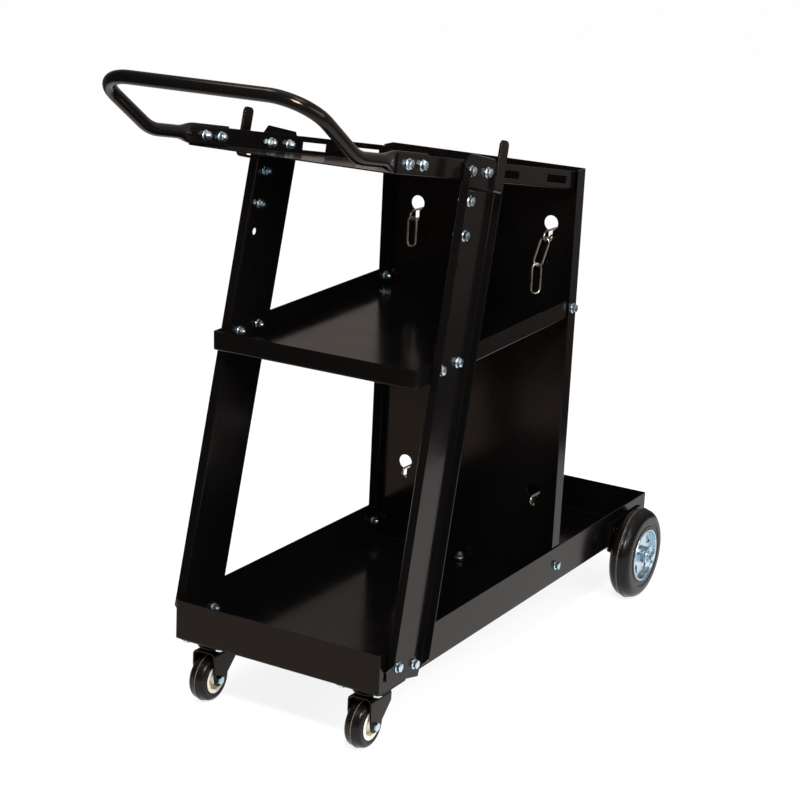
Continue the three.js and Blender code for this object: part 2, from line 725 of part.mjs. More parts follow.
// Bolts of the frame
const placeNames = ['front', 'rear'];
footBolts.forEach((point, index) => {
  boltPair(`foot_bolt_${placeNames[index]}`, webX(point[1]) + sheet, trayHalf - sheet, point);
});
shelfBolts.forEach(([t, h], index) => {
  const point = onShelf(t, h);
  boltPair(`shelf_bolt_${placeNames[index]}`, webX(point[1]) + sheet, shelfHalf - sheet, point);
});
topBolts.forEach(([s, h], index) => {
  const point = onTop(s, h);
  boltPair(`top_bolt_${placeNames[index]}`, webX(point[1]) + sheet, topHalf - sheet, point);
});
handleBolts.forEach(([s, h], index) => {
  boltPair(`handle_bolt_${placeNames[index]}`, topHalf, handleX - handleFlatThickness / 2, onTop(s, h));
});
hookBoltVs.forEach((v, index) => {
  const point = onUpright(hookOffset, v);
  const outside = webX(point[1]) + hookSeat + hookThickness;
  boltPair(`hook_bolt_${['upper', 'lower'][index]}`, outside, webX(point[1]), point);
});
boltPair('panel_shelf_bolt', panelHalf, shelfHalf - sheet, panelShelfBolt);
boltPair('panel_tray_bolt', trayHalf, panelHalf - sheet, panelTrayBolt);
const floorBoltGrip = panelFootZ + sheet - trayZ + 2 * seatGap;
const floorBolt = piece('panel_floor_bolt', boltGeometry(floorBoltGrip), zinc);
floorBolt.position.set(...panelFloorBolt, trayZ - seatGap);
floorBolt.rotation.y = Math.PI / 2;

// Casters: plate, race and king pin in one riveted piece, fork, axle bolt, tyre and hub
const casterWheelRadius = casterWheelDiameter / 2;
const forkInner = casterWheelWidth / 2 + forkSideClearance;
const forkOuter = forkInner + forkSheet;
const casterBoltHole = casterBoltDiameter / 2;
const casterHexRadius = casterBoltFlats / Math.sqrt(3);
const halfPlate = casterPlateSize / 2;
const plateTopZ = casterPlateZ + casterPlateThickness;
const pinHeadZ = casterWheelDiameter + crownClearance - seatGap;
const casterNutZ = trayFloorZ + seatGap;
const casterBoltEnd = casterNutZ + casterNutHeight + casterBoltTail;

function casterPlate() {
  const bolts = casterBoltOffsets.flatMap((x) => casterBoltOffsets.flatMap((y) => [
    rod('z', casterBoltHole, [casterPlateZ - casterBoltHeadHeight, casterBoltEnd], [x, y], boltSides),
    rod('z', casterHexRadius, [casterPlateZ - casterBoltHeadHeight, casterPlateZ], [x, y], boltSides),
    rod('z', casterHexRadius, [casterNutZ, casterNutZ + casterNutHeight], [x, y], boltSides),
  ]));
  return join(
    box([-halfPlate, -halfPlate, casterPlateZ], [halfPlate, halfPlate, plateTopZ]),
    rod(
      'z', [raceFootDiameter / 2, raceTopDiameter / 2], [casterCrownTop + seatGap, casterPlateZ],
      [0, 0], roundSides),
    rod('z', kingPinDiameter / 2, [pinHeadZ - kingPinHeadHeight, casterPlateZ], [0, 0], holeSides),
    rod('z', kingPinHeadDiameter / 2, [pinHeadZ - kingPinHeadHeight, pinHeadZ], [0, 0], roundSides),
    ...bolts);
}

function casterFork() {
  const halfSpan = forkSpan / 2;
  const crownZ = casterCrownTop - forkSheet;
  const eye = [-casterTrail, casterWheelRadius];
  const frontCorner = [-halfSpan, casterCrownTop - forkFrontDrop];
  const rearCorner = [halfSpan, casterCrownTop - forkRearDrop];
  const plateOutline = new THREE.Shape();
  plateOutline.moveTo(-halfSpan, casterCrownTop);
  plateOutline.lineTo(...frontCorner);
  plateOutline.absarc(
    ...eye, forkEyeRadius,
    touchAngle(frontCorner, eye, forkEyeRadius, 1), touchAngle(rearCorner, eye, forkEyeRadius, -1), false);
  plateOutline.lineTo(...rearCorner);
  plateOutline.lineTo(halfSpan, casterCrownTop);
  plateOutline.closePath();
  const axleHole = casterAxleDiameter / 2 + boltClearance;
  return cut(
    join(
      sidePlate(plateOutline, [-forkOuter, -forkInner]),
      sidePlate(plateOutline, [forkInner, forkOuter]),
      box([-forkOuter, -halfSpan, crownZ], [forkOuter, halfSpan, casterCrownTop])),
    rod('x', axleHole, [-forkOuter - forkSheet, forkOuter + forkSheet], eye),
    rod(
      'z', kingPinDiameter / 2 + turnClearance, [crownZ - forkSheet, casterCrownTop + forkSheet],
      [0, 0], roundSides));
}

function casterTyre() {
  const bore = casterHubDiameter / 2 + seatGap;
  return tyre(
    casterWheelRadius, casterWheelWidth / 2, bore, casterTreadCrown, casterShoulderRadius, casterSides);
}

function casterHub() {
  const half = casterWheelWidth / 2;
  const boss = casterHubBossDiameter / 2;
  const recess = casterHubRecessDiameter / 2;
  const rim = casterHubDiameter / 2;
  const bore = casterAxleDiameter / 2 + turnClearance;
  const bossEnd = forkInner - seatGap;
  return turned([
    [bore, -bossEnd],
    [bore, bossEnd],
    [boss, bossEnd],
    [boss, half - casterHubRecess],
    [recess, half - casterHubRecess],
    [recess, half],
    [rim, half],
    [rim, -half],
    [recess, -half],
    [recess, casterHubRecess - half],
    [boss, casterHubRecess - half],
    [boss, -bossEnd],
  ], roundSides);
}

function casterAxleBolt() {
  const seat = forkOuter + seatGap;
  const tail = -seat - casterNutHeight - casterBoltTail;
  return join(
    rod('x', casterAxleDiameter / 2, [tail, seat + sheet], [0, 0], holeSides),
    rod('x', casterHexRadius, [seat, seat + casterBoltHeadHeight], [0, 0], boltSides),
    rod('x', casterHexRadius, [-seat - casterNutHeight, -seat], [0, 0], boltSides));
}

['left', 'right'].forEach((side, index) => {
  const caster = new THREE.Group();
  caster.position.set(...casterSites[index], 0);
  cart.add(caster);
  piece(`${side}_caster_plate`, casterPlate(), paint, caster);
  piece(`${side}_caster_fork`, casterFork(), paint, caster);
  const wheel = new THREE.Group();
  wheel.position.set(0, -casterTrail, casterWheelRadius);
  caster.add(wheel);
  piece(`${side}_caster_axle_bolt`, casterAxleBolt(), zinc, wheel);
  piece(`${side}_caster_tyre`, casterTyre(), rubber, wheel);
  piece(`${side}_caster_hub`, casterHub(), plastic, wheel);
});

// Rear running gear
const rearWheelRadius = rearWheelDiameter / 2;
const rearAxleRadius = rearAxleDiameter / 2;
const bracketInnerX = trayHalf + seatGap;
const bracketOuterX = bracketInnerX + bracketSheet;
const rearHubInnerX = bracketOuterX + seatGap;
const rearWheelX = rearHubInnerX + rearHubLength / 2;
const axleWasherX = rearHubInnerX + rearHubLength + seatGap;
const splitPinX = axleWasherX + axleWasherThickness + seatGap + splitPinDiameter / 2;
const rearAxleEnd = splitPinX + splitPinDiameter / 2 + rearAxleTail;
const rearAxleCentre = [rearAxleY, rearWheelRadius];

piece('rear_axle', cut(
  rod('x', rearAxleRadius, [-rearAxleEnd, rearAxleEnd], rearAxleCentre, roundSides),
  ...[-splitPinX, splitPinX].map((x) => rod(
    'z', splitPinDiameter / 2 + seatGap,
    [rearWheelRadius - rearAxleDiameter, rearWheelRadius + rearAxleDiameter], [x, rearAxleY]))), zinc);

function axleBracket() {
  const frontY = rearAxleY - bracketLength / 2;
  const rearY = rearAxleY + bracketLength / 2;
  const frontCorner = [frontY, trayZ - bracketFootDrop];
  const rearCorner = [rearY, trayZ - bracketFootDrop];
  const outline = new THREE.Shape();
  outline.moveTo(frontY, trayTopZ - bracketTopDrop);
  outline.lineTo(...frontCorner);
  outline.absarc(
    ...rearAxleCentre, bracketEyeRadius,
    touchAngle(frontCorner, rearAxleCentre, bracketEyeRadius, 1),
    touchAngle(rearCorner, rearAxleCentre, bracketEyeRadius, -1), false);
  outline.lineTo(...rearCorner);
  outline.lineTo(rearY, trayTopZ - bracketTopDrop);
  outline.closePath();
  const plate = cut(
    sidePlate(outline, [bracketInnerX, bracketOuterX]),
    rod('x', rearAxleRadius + turnClearance, [trayHalf, bracketOuterX + sheet], rearAxleCentre, roundSides));
  const rivetTail = trayHalf - sheet - seatGap;
  return join(plate, ...rivetSites.flatMap((site) => [
    rod('x', rivetDiameter / 2, [rivetTail - rivetHeadHeight, bracketOuterX], site),
    rod('x', rivetHeadDiameter / 2, [rivetTail - rivetHeadHeight, rivetTail], site),
  ]));
}

const rightBracket = axleBracket();
piece('right_axle_bracket', rightBracket, paint);
piece('left_axle_bracket', mirrored(rightBracket), paint);

function rearTyre() {
  const bore = rearRimDiameter / 2 + seatGap;
  return tyre(rearWheelRadius, rearWheelWidth / 2, bore, rearTreadCrown, rearShoulderRadius, wheelSides);
}

function rearHub() {
  const half = rearWheelWidth / 2;
  const rim = rearRimDiameter / 2;
  const rimInner = rim - rearRimWall;
  const web = half - rearRimDepth;
  const boss = rearHubDiameter / 2;
  const bossEnd = rearHubLength / 2;
  const bore = rearAxleRadius + turnClearance;
  const disc = turned([
    [bore, -bossEnd],
    [bore, bossEnd],
    [boss, bossEnd],
    [boss, web],
    [rimInner, web],
    [rimInner, half],
    [rim, half],
    [rim, -half],
    [rimInner, -half],
    [rimInner, web - rearWebThickness],
    [boss, web - rearWebThickness],
    [boss, -bossEnd],
  ], hubSides);
  const innerEdge = boss + rearWebHoleInset;
  const outerEdge = rimInner - rearWebHoleInset;
  const halfAngle = radians(rearWebHoleHalfAngle);
  const windows = [...Array(rearWebHoles).keys()].map((place) => {
    const middle = 2 * Math.PI * (place + 0.5) / rearWebHoles;
    const corner = (radius, angle) => [radius * Math.cos(angle), radius * Math.sin(angle)];
    return sidePlate([
      corner(innerEdge, middle),
      corner(outerEdge, middle - halfAngle),
      corner(outerEdge, middle),
      corner(outerEdge, middle + halfAngle),
    ], [web - 2 * rearWebThickness, web + rearWebThickness]);
  });
  return cut(disc, ...windows);
}

function axleWasher() {
  const bore = rearAxleRadius + turnClearance;
  const rim = axleWasherDiameter / 2;
  return turned([[bore, 0], [bore, axleWasherThickness], [rim, axleWasherThickness], [rim, 0]], roundSides);
}

function splitPin() {
  const eyeZ = splitPinLength / 2 + splitPinEye;
  return join(
    rod(
      'z', splitPinDiameter / 2, [-splitPinLength / 2, splitPinLength / 2 + splitPinWire / 2],
      [0, 0], boltSides),
    new THREE.TorusGeometry(splitPinEye, splitPinWire / 2, boltSides, holeSides)
      .rotateY(Math.PI / 2)
      .translate(0, 0, eyeZ));
}

[['left', -1], ['right', 1]].forEach(([side, direction]) => {
  const gear = new THREE.Group();
  gear.position.set(0, ...rearAxleCentre);
  gear.rotation.z = direction > 0 ? 0 : Math.PI;
  cart.add(gear);
  piece(`${side}_rear_tyre`, rearTyre(), rubber, gear).position.x = rearWheelX;
  piece(`${side}_rear_hub`, rearHub(), zinc, gear).position.x = rearWheelX;
  piece(`${side}_axle_washer`, axleWasher(), zinc, gear).position.x = axleWasherX;
  piece(`${side}_split_pin`, splitPin(), zinc, gear).position.x = splitPinX;
});

// Bottle chains. A link lies along x, wide along y, its wire drawn as a closed loop of rings
const wireRadius = chainWire / 2;
const linkRound = chainLinkWidth / 2 - wireRadius;
const linkFuse = 0.1;           // overlap that makes one body of two hooked links

function linkGeometry(length) {
  const straight = length / 2 - chainLinkWidth / 2;
  const rings = [1, -1].flatMap((end) => [...Array(linkTurns + 1).keys()].map((step) => {
    const angle = Math.PI * (step / linkTurns - 0.5) + (end > 0 ? 0 : Math.PI);
    const outward = new THREE.Vector3(Math.cos(angle), Math.sin(angle), 0);
    const centre = outward.clone().multiplyScalar(linkRound).add(new THREE.Vector3(end * straight, 0, 0));
    return [...Array(linkSides).keys()].map((side) => {
      const turn = 2 * Math.PI * side / linkSides;
      return centre.clone()
        .addScaledVector(outward, wireRadius * Math.cos(turn))
        .add(new THREE.Vector3(0, 0, wireRadius * Math.sin(turn)));
    });
  }));
  return skin(rings.map((ring) => ring.reverse()), true);
}

// A link hooked between two contact points
function linkBetween(start, end, wide) {
  const along = new THREE.Vector3().subVectors(end, start);
  const length = along.length() + 2 * chainWire - 2 * linkFuse;
  const middle = new THREE.Vector3().addVectors(start, end).multiplyScalar(0.5);
  along.normalize();
  const across = wide.clone().addScaledVector(along, -wide.dot(along)).normalize();
  const frame = new THREE.Matrix4().makeBasis(along, across, new THREE.Vector3().crossVectors(along, across));
  return linkGeometry(length).applyMatrix4(frame.setPosition(middle));
}

const acrossX = new THREE.Vector3(1, 0, 0);
const acrossY = new THREE.Vector3(0, 1, 0);
const acrossZ = new THREE.Vector3(0, 0, 1);

// Contact height of a hanging link on the link lying in a keyhole slot
function chainSeatZ(keyholeZ) {
  return keyholeZ - keyholeSlotDrop + seatGap + chainWire;
}

// A chain hangs behind the panel between two keyholes, from a link lying in each slot
function chain(keyholeZ, links, sag, setBack = 0) {
  const seatZ = chainSeatZ(keyholeZ);
  const sagging = new THREE.QuadraticBezierCurve3(
    new THREE.Vector3(-keyholeX, 0, seatZ),
    new THREE.Vector3(0, 0, seatZ - 2 * sag),
    new THREE.Vector3(keyholeX, 0, seatZ));
  const step = sagging.getLength() / links;
  const throughHalf = step / 2;
  const throughY = panelRearY + setBack;
  const hangY = throughY + throughHalf + chainWire - chainLinkWidth / 2;
  const joints = sagging.getSpacedPoints(links).map((point) => point.setY(hangY));
  const hanging = joints.slice(1).map((joint, index) => {
    const along = new THREE.Vector3().subVectors(joint, joints[index]);
    return linkBetween(joints[index], joint, index % 2 ? acrossY : along.cross(acrossY));
  });
  const throughZ = seatZ - chainWire + chainLinkWidth / 2;
  const through = [-keyholeX, keyholeX].map((x) => linkBetween(
    new THREE.Vector3(x, throughY - throughHalf, throughZ),
    new THREE.Vector3(x, throughY + throughHalf, throughZ),
    acrossZ));
  return { geometry: join(...through, ...hanging), step, seatZ, frontY: 2 * panelRearY - hangY };
}

const upperChain = chain(keyholeUpperZ, upperChainLinks, upperChainSag);
const lowerChain = chain(keyholeLowerZ, lowerChainLinks, lowerChainSag, lowerChainSetBack);
piece('upper_chain', upperChain.geometry, nickel);
piece('lower_chain', lowerChain.geometry, nickel);

// The chain's free ends hang in front of the panel
const endTopZ = upperChain.seatZ + chainEndPlay;
const leftEndTop = new THREE.Vector3(-keyholeX, upperChain.frontY, endTopZ);
const leftEndFoot = leftEndTop.clone().setZ(endTopZ - upperChain.step);
piece('left_chain_end', linkBetween(leftEndTop, leftEndFoot, acrossX), nickel);

const rightEndTop = new THREE.Vector3(keyholeX, upperChain.frontY, endTopZ);
const rightEndElbow = rightEndTop.clone().add(new THREE.Vector3(
  -Math.sin(radians(chainEndLean)), 0, -Math.cos(radians(chainEndLean))).multiplyScalar(upperChain.step));
const rightEndFoot = rightEndElbow.clone().setZ(rightEndElbow.z - upperChain.step);
const twisted = acrossX.clone().applyAxisAngle(acrossZ, radians(chainEndTwist));
piece('right_chain_end', join(
  linkBetween(rightEndTop, rightEndElbow, acrossX),
  linkBetween(rightEndElbow, rightEndFoot, twisted)), nickel);

// Origin under the middle of the whole cart
cart.updateMatrixWorld(true);
const extent = new THREE.Box3().setFromObject(cart, true);
const middle = extent.getCenter(new THREE.Vector3());
cart.position.set(-middle.x, -middle.y, -extent.min.z);

export default cart;
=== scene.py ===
# %% [markdown]
# # A welding cart of folded sheet steel
# The cart is three black decks, a back panel and two leaning channels bolted together, on two small
# casters and two bigger rear wheels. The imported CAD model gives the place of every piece. The lesson
# remakes each piece with the bends, rounded edges and turned profiles that a plain solid leaves out.

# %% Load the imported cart
import json
import math
import bmesh
import bpy
from bmesh.types import BMEdge, BMFace, BMVert
from mathutils import Matrix, Vector

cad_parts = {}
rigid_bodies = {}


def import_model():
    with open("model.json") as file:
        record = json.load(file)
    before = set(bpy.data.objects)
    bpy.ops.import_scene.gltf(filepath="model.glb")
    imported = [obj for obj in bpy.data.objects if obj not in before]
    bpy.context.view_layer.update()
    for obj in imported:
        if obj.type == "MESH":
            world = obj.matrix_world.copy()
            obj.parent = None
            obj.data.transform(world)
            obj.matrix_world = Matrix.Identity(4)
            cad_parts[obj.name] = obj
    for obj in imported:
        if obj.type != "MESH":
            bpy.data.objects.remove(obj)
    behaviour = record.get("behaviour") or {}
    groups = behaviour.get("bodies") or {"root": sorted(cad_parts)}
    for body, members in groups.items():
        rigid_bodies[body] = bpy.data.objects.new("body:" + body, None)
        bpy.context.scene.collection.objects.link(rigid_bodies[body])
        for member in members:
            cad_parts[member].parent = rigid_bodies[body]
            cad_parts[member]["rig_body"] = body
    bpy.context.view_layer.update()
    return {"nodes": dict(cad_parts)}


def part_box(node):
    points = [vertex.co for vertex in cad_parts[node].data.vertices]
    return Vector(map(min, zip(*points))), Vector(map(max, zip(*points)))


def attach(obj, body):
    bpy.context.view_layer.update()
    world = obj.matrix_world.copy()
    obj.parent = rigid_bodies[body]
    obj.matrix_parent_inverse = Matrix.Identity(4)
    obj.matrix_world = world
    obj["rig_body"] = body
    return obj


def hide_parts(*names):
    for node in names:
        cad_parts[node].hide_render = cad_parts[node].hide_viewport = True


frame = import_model()

# %% [markdown]
# ## The drawing's own axes
# A sheet-metal worker measures this cart in millimetres from the bottom tray's front wall, with the
# ground at zero height. Each piece is drawn like that and carried over to the frame's metres once,
# when it is finished. Working in the shop's sizes keeps bends and bolt holes easy to check.

# %% Carry shop millimetres over to the frame
tray_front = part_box("bottom_tray")[0].y
to_frame = Matrix.Translation((0, tray_front, 0)) @ Matrix.Scale(0.001, 4)


def shop_box(node):
    return [to_frame.inverted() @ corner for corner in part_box(node)]


print("tray front wall at y =", round(tray_front, 4), "m")

# %% [markdown]
# ## Camera
# The photograph looks at the cart's front right corner from a little above, through a long lens. A
# camera looks down its own -Z axis, so it is tipped up to the horizon, lowered by the elevation,
# turned to the azimuth and rolled a little, to match the photograph.

# %% Set the camera at the photograph's angle
azimuth, elevation, roll = (math.radians(angle) for angle in (29.94, 15.93, 2.71))
camera_place = to_frame @ Vector((1268.0, -1921.6, 1088.1))
camera_data = bpy.data.cameras.new("photo_camera")
camera_data.lens = 91.03
camera_data.sensor_width = 36
camera = bpy.data.objects.new("photo_camera", camera_data)
camera.matrix_world = (
    Matrix.Translation(camera_place)
    @ Matrix.Rotation(azimuth, 4, "Z")
    @ Matrix.Rotation(math.pi / 2 - elevation, 4, "X")
    @ Matrix.Rotation(roll, 4, "Z"))
bpy.context.scene.collection.objects.link(camera)
bpy.context.scene.camera = camera
bpy.context.scene.view_settings.view_transform = "Standard"
print("camera at", [round(place, 3) for place in camera.matrix_world.translation])

# %% [markdown]
# ## Three helpers for finishes
# Paint charts give colours as sRGB hex values, while Blender's shaders work in linear light, so one
# function turns the first into the second. A material is a small wiring diagram, and another
# function adds one node with its settings and links: a socket that is given a node takes that node's
# first output. The third turns a pattern's real size in millimetres into the scale of a noise.

# %% Turn hex colours to linear, add nodes and scale patterns
def linear(hex_colour):
    parts = [int(hex_colour[start:start + 2], 16) / 255 for start in (1, 3, 5)]
    return [part / 12.92 if part <= 0.04045 else ((part + 0.055) / 1.055) ** 2.4 for part in parts] + [1]


def add(tree, kind, sockets, **settings):
    node = tree.nodes.new("ShaderNode" + kind)
    for name, value in settings.items():
        setattr(node, name, value)
    for socket, value in sockets.items():
        if isinstance(value, bpy.types.Node):
            value = next(output for output in value.outputs if output.enabled)
        if isinstance(value, bpy.types.NodeSocket):
            tree.links.new(value, node.inputs[socket])
        else:
            node.inputs[socket].default_value = value
    return node


def per_metre(size_mm):
    return 1000 / size_mm


print("mid grey in linear light:", round(linear("#808080")[0], 3))

# %% [markdown]
# ## Gloss black powder coat
# The sheet steel is powder coated: dry paint is sprayed on and baked, which leaves a glossy black
# skin with a faint orange peel. It reads as black where it mirrors the dark room and as grey where it
# mirrors the pale floor, so the colour stays nearly black and the gloss does the work. Noise makes
# the peel, the slightly uneven gloss, the handling smears and a few specks of dust.

# %% Mix the powder coat
def new_finish(name):
    material = bpy.data.materials.new(name)
    material.use_nodes = True
    tree = material.node_tree
    place = add(tree, "TexCoord", {}).outputs["Object"]
    return material, tree, tree.nodes["Principled BSDF"], place


def wire_up(tree, shader, colour, gloss, relief):
    tree.links.new(colour.outputs[2], shader.inputs["Base Color"])
    tree.links.new(gloss.outputs[0], shader.inputs["Roughness"])
    tree.links.new(relief.outputs[0], shader.inputs["Normal"])


powder_coat, tree, paint, place = new_finish("gloss_black_powder_coat")
smears = add(tree, "TexNoise", {"Vector": place, "Scale": per_metre(90), "Detail": 5, "Roughness": 0.6})
dust = add(tree, "TexNoise", {"Vector": place, "Scale": per_metre(2.5), "Detail": 2})
specks = add(tree, "MapRange", {0: dust, 1: 0.70, 2: 0.80, 3: 0.0, 4: 0.6})
skin = add(tree, "Mix", {0: smears, 6: linear("#040404"), 7: linear("#090808")}, data_type="RGBA")
dusty = add(tree, "Mix", {0: specks, 6: skin, 7: linear("#1e1c1b")}, data_type="RGBA")
gloss = add(tree, "MapRange", {0: smears, 1: 0.3, 2: 0.7, 3: 0.11, 4: 0.2})
# The peel of a sprayed coat is about a millimetre across; it is drawn at 4 mm so that it shows.
peel = add(tree, "TexNoise", {"Vector": place, "Scale": per_metre(4), "Detail": 1})
bump = add(tree, "Bump", {"Height": peel, "Strength": 0.06, "Distance": 0.0006})
paint.inputs["IOR"].default_value = 1.5
paint.inputs["Specular IOR Level"].default_value = 0.14
# The warm specular tint is a painted warm tint on every reflection, standing in for the warm room that
# the paint mirrors.
paint.inputs["Specular Tint"].default_value = linear("#ffdcc0")
wire_up(tree, paint, dusty, gloss, bump)
print("powder coat nodes:", len(tree.nodes))

# %% [markdown]
# ## Bright zinc plate
# Bolts, washers and the rear wheel centres are steel with a thin bright zinc plate, which the bath
# leaves slightly blue and cloudy. It is a metal, so its colour is the colour of its reflection. A
# cloudy noise shifts it between blue and pale grey and makes some patches duller than others.

# %% Mix the zinc plate
zinc_plate, tree, zinc, place = new_finish("bright_zinc_plate")
zinc.inputs["Metallic"].default_value = 1
clouds = add(tree, "TexNoise", {"Vector": place, "Scale": per_metre(12), "Detail": 4})
tint = add(tree, "Mix", {0: clouds, 6: linear("#93bcd2"), 7: linear("#dfe3e4")}, data_type="RGBA")
dull = add(tree, "MapRange", {0: clouds, 1: 0.3, 2: 0.7, 3: 0.16, 4: 0.34})
# Crystals of the plate are far below a millimetre; they are drawn at 0.8 mm so that they show.
crystals = add(tree, "TexNoise", {"Vector": place, "Scale": per_metre(0.8), "Detail": 2})
bump = add(tree, "Bump", {"Height": crystals, "Strength": 0.06, "Distance": 0.0002})
wire_up(tree, zinc, tint, dull, bump)
print("zinc plate nodes:", len(tree.nodes))

# %% [markdown]
# ## Dull nickel plate
# The bottle chains are welded steel wire with a thin nickel plate, warmer and duller than the zinc.
# It tarnishes in patches, a noise that mixes in a brown grey and makes the metal duller there.

# %% Mix the nickel plate
nickel_plate, tree, nickel, place = new_finish("dull_nickel_plate")
nickel.inputs["Metallic"].default_value = 1
tarnish = add(tree, "TexNoise", {"Vector": place, "Scale": per_metre(6), "Detail": 4, "Roughness": 0.65})
tint = add(tree, "Mix", {0: tarnish, 6: linear("#c9bfb0"), 7: linear("#8a8074")}, data_type="RGBA")
dull = add(tree, "MapRange", {0: tarnish, 1: 0.3, 2: 0.7, 3: 0.22, 4: 0.42})
bump = add(tree, "Bump", {"Height": tarnish, "Strength": 0.15, "Distance": 0.0003})
wire_up(tree, nickel, tint, dull, bump)
print("nickel plate nodes:", len(tree.nodes))

# %% [markdown]
# ## Moulded black rubber
# The tyres are moulded solid rubber, a warm black with a satin skin from the mould and a bloom of
# dust. A fine grain gives the satin, and a broad noise the dusty patches.

# %% Mix the rubber
moulded_rubber, tree, rubber, place = new_finish("moulded_black_rubber")
bloom = add(tree, "TexNoise", {"Vector": place, "Scale": per_metre(25), "Detail": 5, "Roughness": 0.6})
grain = add(tree, "TexNoise", {"Vector": place, "Scale": per_metre(1.2), "Detail": 2})
tint = add(tree, "Mix", {0: bloom, 6: linear("#080707"), 7: linear("#110e0c")}, data_type="RGBA")
satin = add(tree, "MapRange", {0: bloom, 1: 0.3, 2: 0.7, 3: 0.2, 4: 0.32})
rubber.inputs["Specular IOR Level"].default_value = 0.2
bump = add(tree, "Bump", {"Height": grain, "Strength": 0.15, "Distance": 0.0002})
wire_up(tree, rubber, tint, satin, bump)
print("rubber nodes:", len(tree.nodes))

# %% [markdown]
# ## Mould line
# The two halves of a tyre's mould leave a thin raised line round the tread. Its faces are given a
# lighter brown, duller rubber with a fine grain, so it shows as a light brown line.

# %% Mix the light line rubber
light_line_rubber, tree, line_rubber_shader, place = new_finish("light_line_rubber")
line_noise = add(tree, "TexNoise", {"Vector": place, "Scale": per_metre(3), "Detail": 3})
# The mould line is drawn a lighter brown and duller than the tyre around it.
tint = add(tree, "Mix", {0: line_noise, 6: linear("#2c241e"), 7: linear("#6e5e4d")}, data_type="RGBA")
bump = add(tree, "Bump", {"Height": line_noise, "Strength": 0.2, "Distance": 0.0002})
line_rubber_shader.inputs["Roughness"].default_value = 0.7
tree.links.new(tint.outputs[2], line_rubber_shader.inputs["Base Color"])
tree.links.new(bump.outputs[0], line_rubber_shader.inputs["Normal"])
print("scuffed rubber nodes:", len(tree.nodes))

# %% [markdown]
# ## Cream nylon
# The caster wheels have moulded nylon centres. Nylon is slightly see-through, so light softens inside
# it, and its colour is a warm white that greys a little in greasy patches.

# %% Mix the nylon
cream_nylon, tree, nylon, place = new_finish("cream_nylon")
nylon.inputs["Subsurface Weight"].default_value = 0.1
nylon.inputs["Subsurface Scale"].default_value = 0.002
nylon.inputs["IOR"].default_value = 1.53
grease = add(tree, "TexNoise", {"Vector": place, "Scale": per_metre(8), "Detail": 4})
tint = add(tree, "Mix", {0: grease, 6: linear("#e9e3d3"), 7: linear("#d3ccb8")}, data_type="RGBA")
sheen = add(tree, "MapRange", {0: grease, 1: 0.3, 2: 0.7, 3: 0.38, 4: 0.5})
bump = add(tree, "Bump", {"Height": grease, "Strength": 0.1, "Distance": 0.0004})
wire_up(tree, nylon, tint, sheen, bump)
print("nylon nodes:", len(tree.nodes))

# %% [markdown]
# ## Finishing a piece
# Every piece ends the same way. Its mesh is carried to the frame, shaded smooth except at real
# corners, given its finish, named after the CAD node it stands for and hung on that node's body, and
# the node's plain solid is hidden. A folded sheet is drawn as one surface and gets its thickness from a
# Solidify modifier, and a small Bevel modifier breaks the sheared edges, because a real edge always
# catches a thin line of light.

# %% Hand a piece to the frame
real_corner = math.radians(38)


def new_object(name, bm, material):
    mesh = bpy.data.meshes.new(name)
    bm.to_mesh(mesh)
    bm.free()
    mesh.materials.append(material)
    made = bpy.data.objects.new(name, mesh)
    bpy.context.scene.collection.objects.link(made)
    return made


def hand_over(node, bm, finish, wall=0, side=-1, edge=0):
    for seam in bm.edges:
        if len(seam.link_faces) == 2 and seam.calc_face_angle() > real_corner:
            seam.smooth = False
    bmesh.ops.transform(bm, matrix=to_frame, verts=bm.verts)
    piece = new_object(node + "_look", bm, finish)
    piece.data.shade_smooth()
    if wall:
        thickness = piece.modifiers.new("sheet_thickness", "SOLIDIFY")
        thickness.thickness = wall / 1000
        thickness.offset = side
        thickness.use_even_offset = True
    if edge:
        broken = piece.modifiers.new("broken_edges", "BEVEL")
        broken.width = edge / 1000
        broken.segments = 2
        broken.limit_method = "ANGLE"
        broken.angle_limit = real_corner
        broken.harden_normals = True
    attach(piece, frame["nodes"][node]["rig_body"])
    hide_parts(node)
    return piece


# %% [markdown]
# ## Bottom tray
# The bottom tray is one sheet folded up on four sides. A box without its lid has that form already.
# The bevel operator then rounds the folded corners as a press brake does. The borders of each bend
# are marked sharp, so that the bend shades as round while the flat faces beside it stay flat.

# %% Fold the bottom tray
sheet, bend_radius = 1.5, 2.6
right, behind, up = Vector((1, 0, 0)), Vector((0, 1, 0)), Vector((0, 0, 1))
ahead, down = -behind, -up


def open_box(low, high, open_sides):
    bm = bmesh.new()
    size = Vector(high) - Vector(low)
    middle = (Vector(high) + Vector(low)) / 2
    bmesh.ops.create_cube(bm, size=1, matrix=Matrix.Translation(middle) @ Matrix.Diagonal((*size, 1)))
    lids = [face for face in bm.faces if any(face.normal.dot(way) > 0.9 for way in open_sides)]
    bmesh.ops.delete(bm, geom=lids, context="FACES")
    return bm


def round_off(bm, geom, radius, affect="EDGES", segments=6):
    made = bmesh.ops.bevel(bm, geom=geom, offset=radius, offset_type="OFFSET", affect=affect,
                           segments=segments, profile=0.5, material=-1)
    return made["faces"]


def fold(bm, radius=bend_radius):
    corners = [edge for edge in bm.edges if len(edge.link_faces) == 2]
    bends = set(round_off(bm, corners, radius))
    for border in {edge for face in bends for edge in face.edges}:
        if sum(face in bends for face in border.link_faces) == 1:
            border.smooth = False


tray_low, tray_high = shop_box("bottom_tray")
bm = open_box(tray_low, tray_high, [up])
fold(bm)
hand_over("bottom_tray", bm, powder_coat, wall=sheet, edge=0.35)
print("tray size in mm:", [round(length, 1) for length in tray_high - tray_low])

# %% [markdown]
# ## Middle shelf
# The shelf is a shallower pan, open at the back where it meets the panel, and it rises two degrees to
# the rear. It is drawn level from its own lower front edge and then turned about that edge.

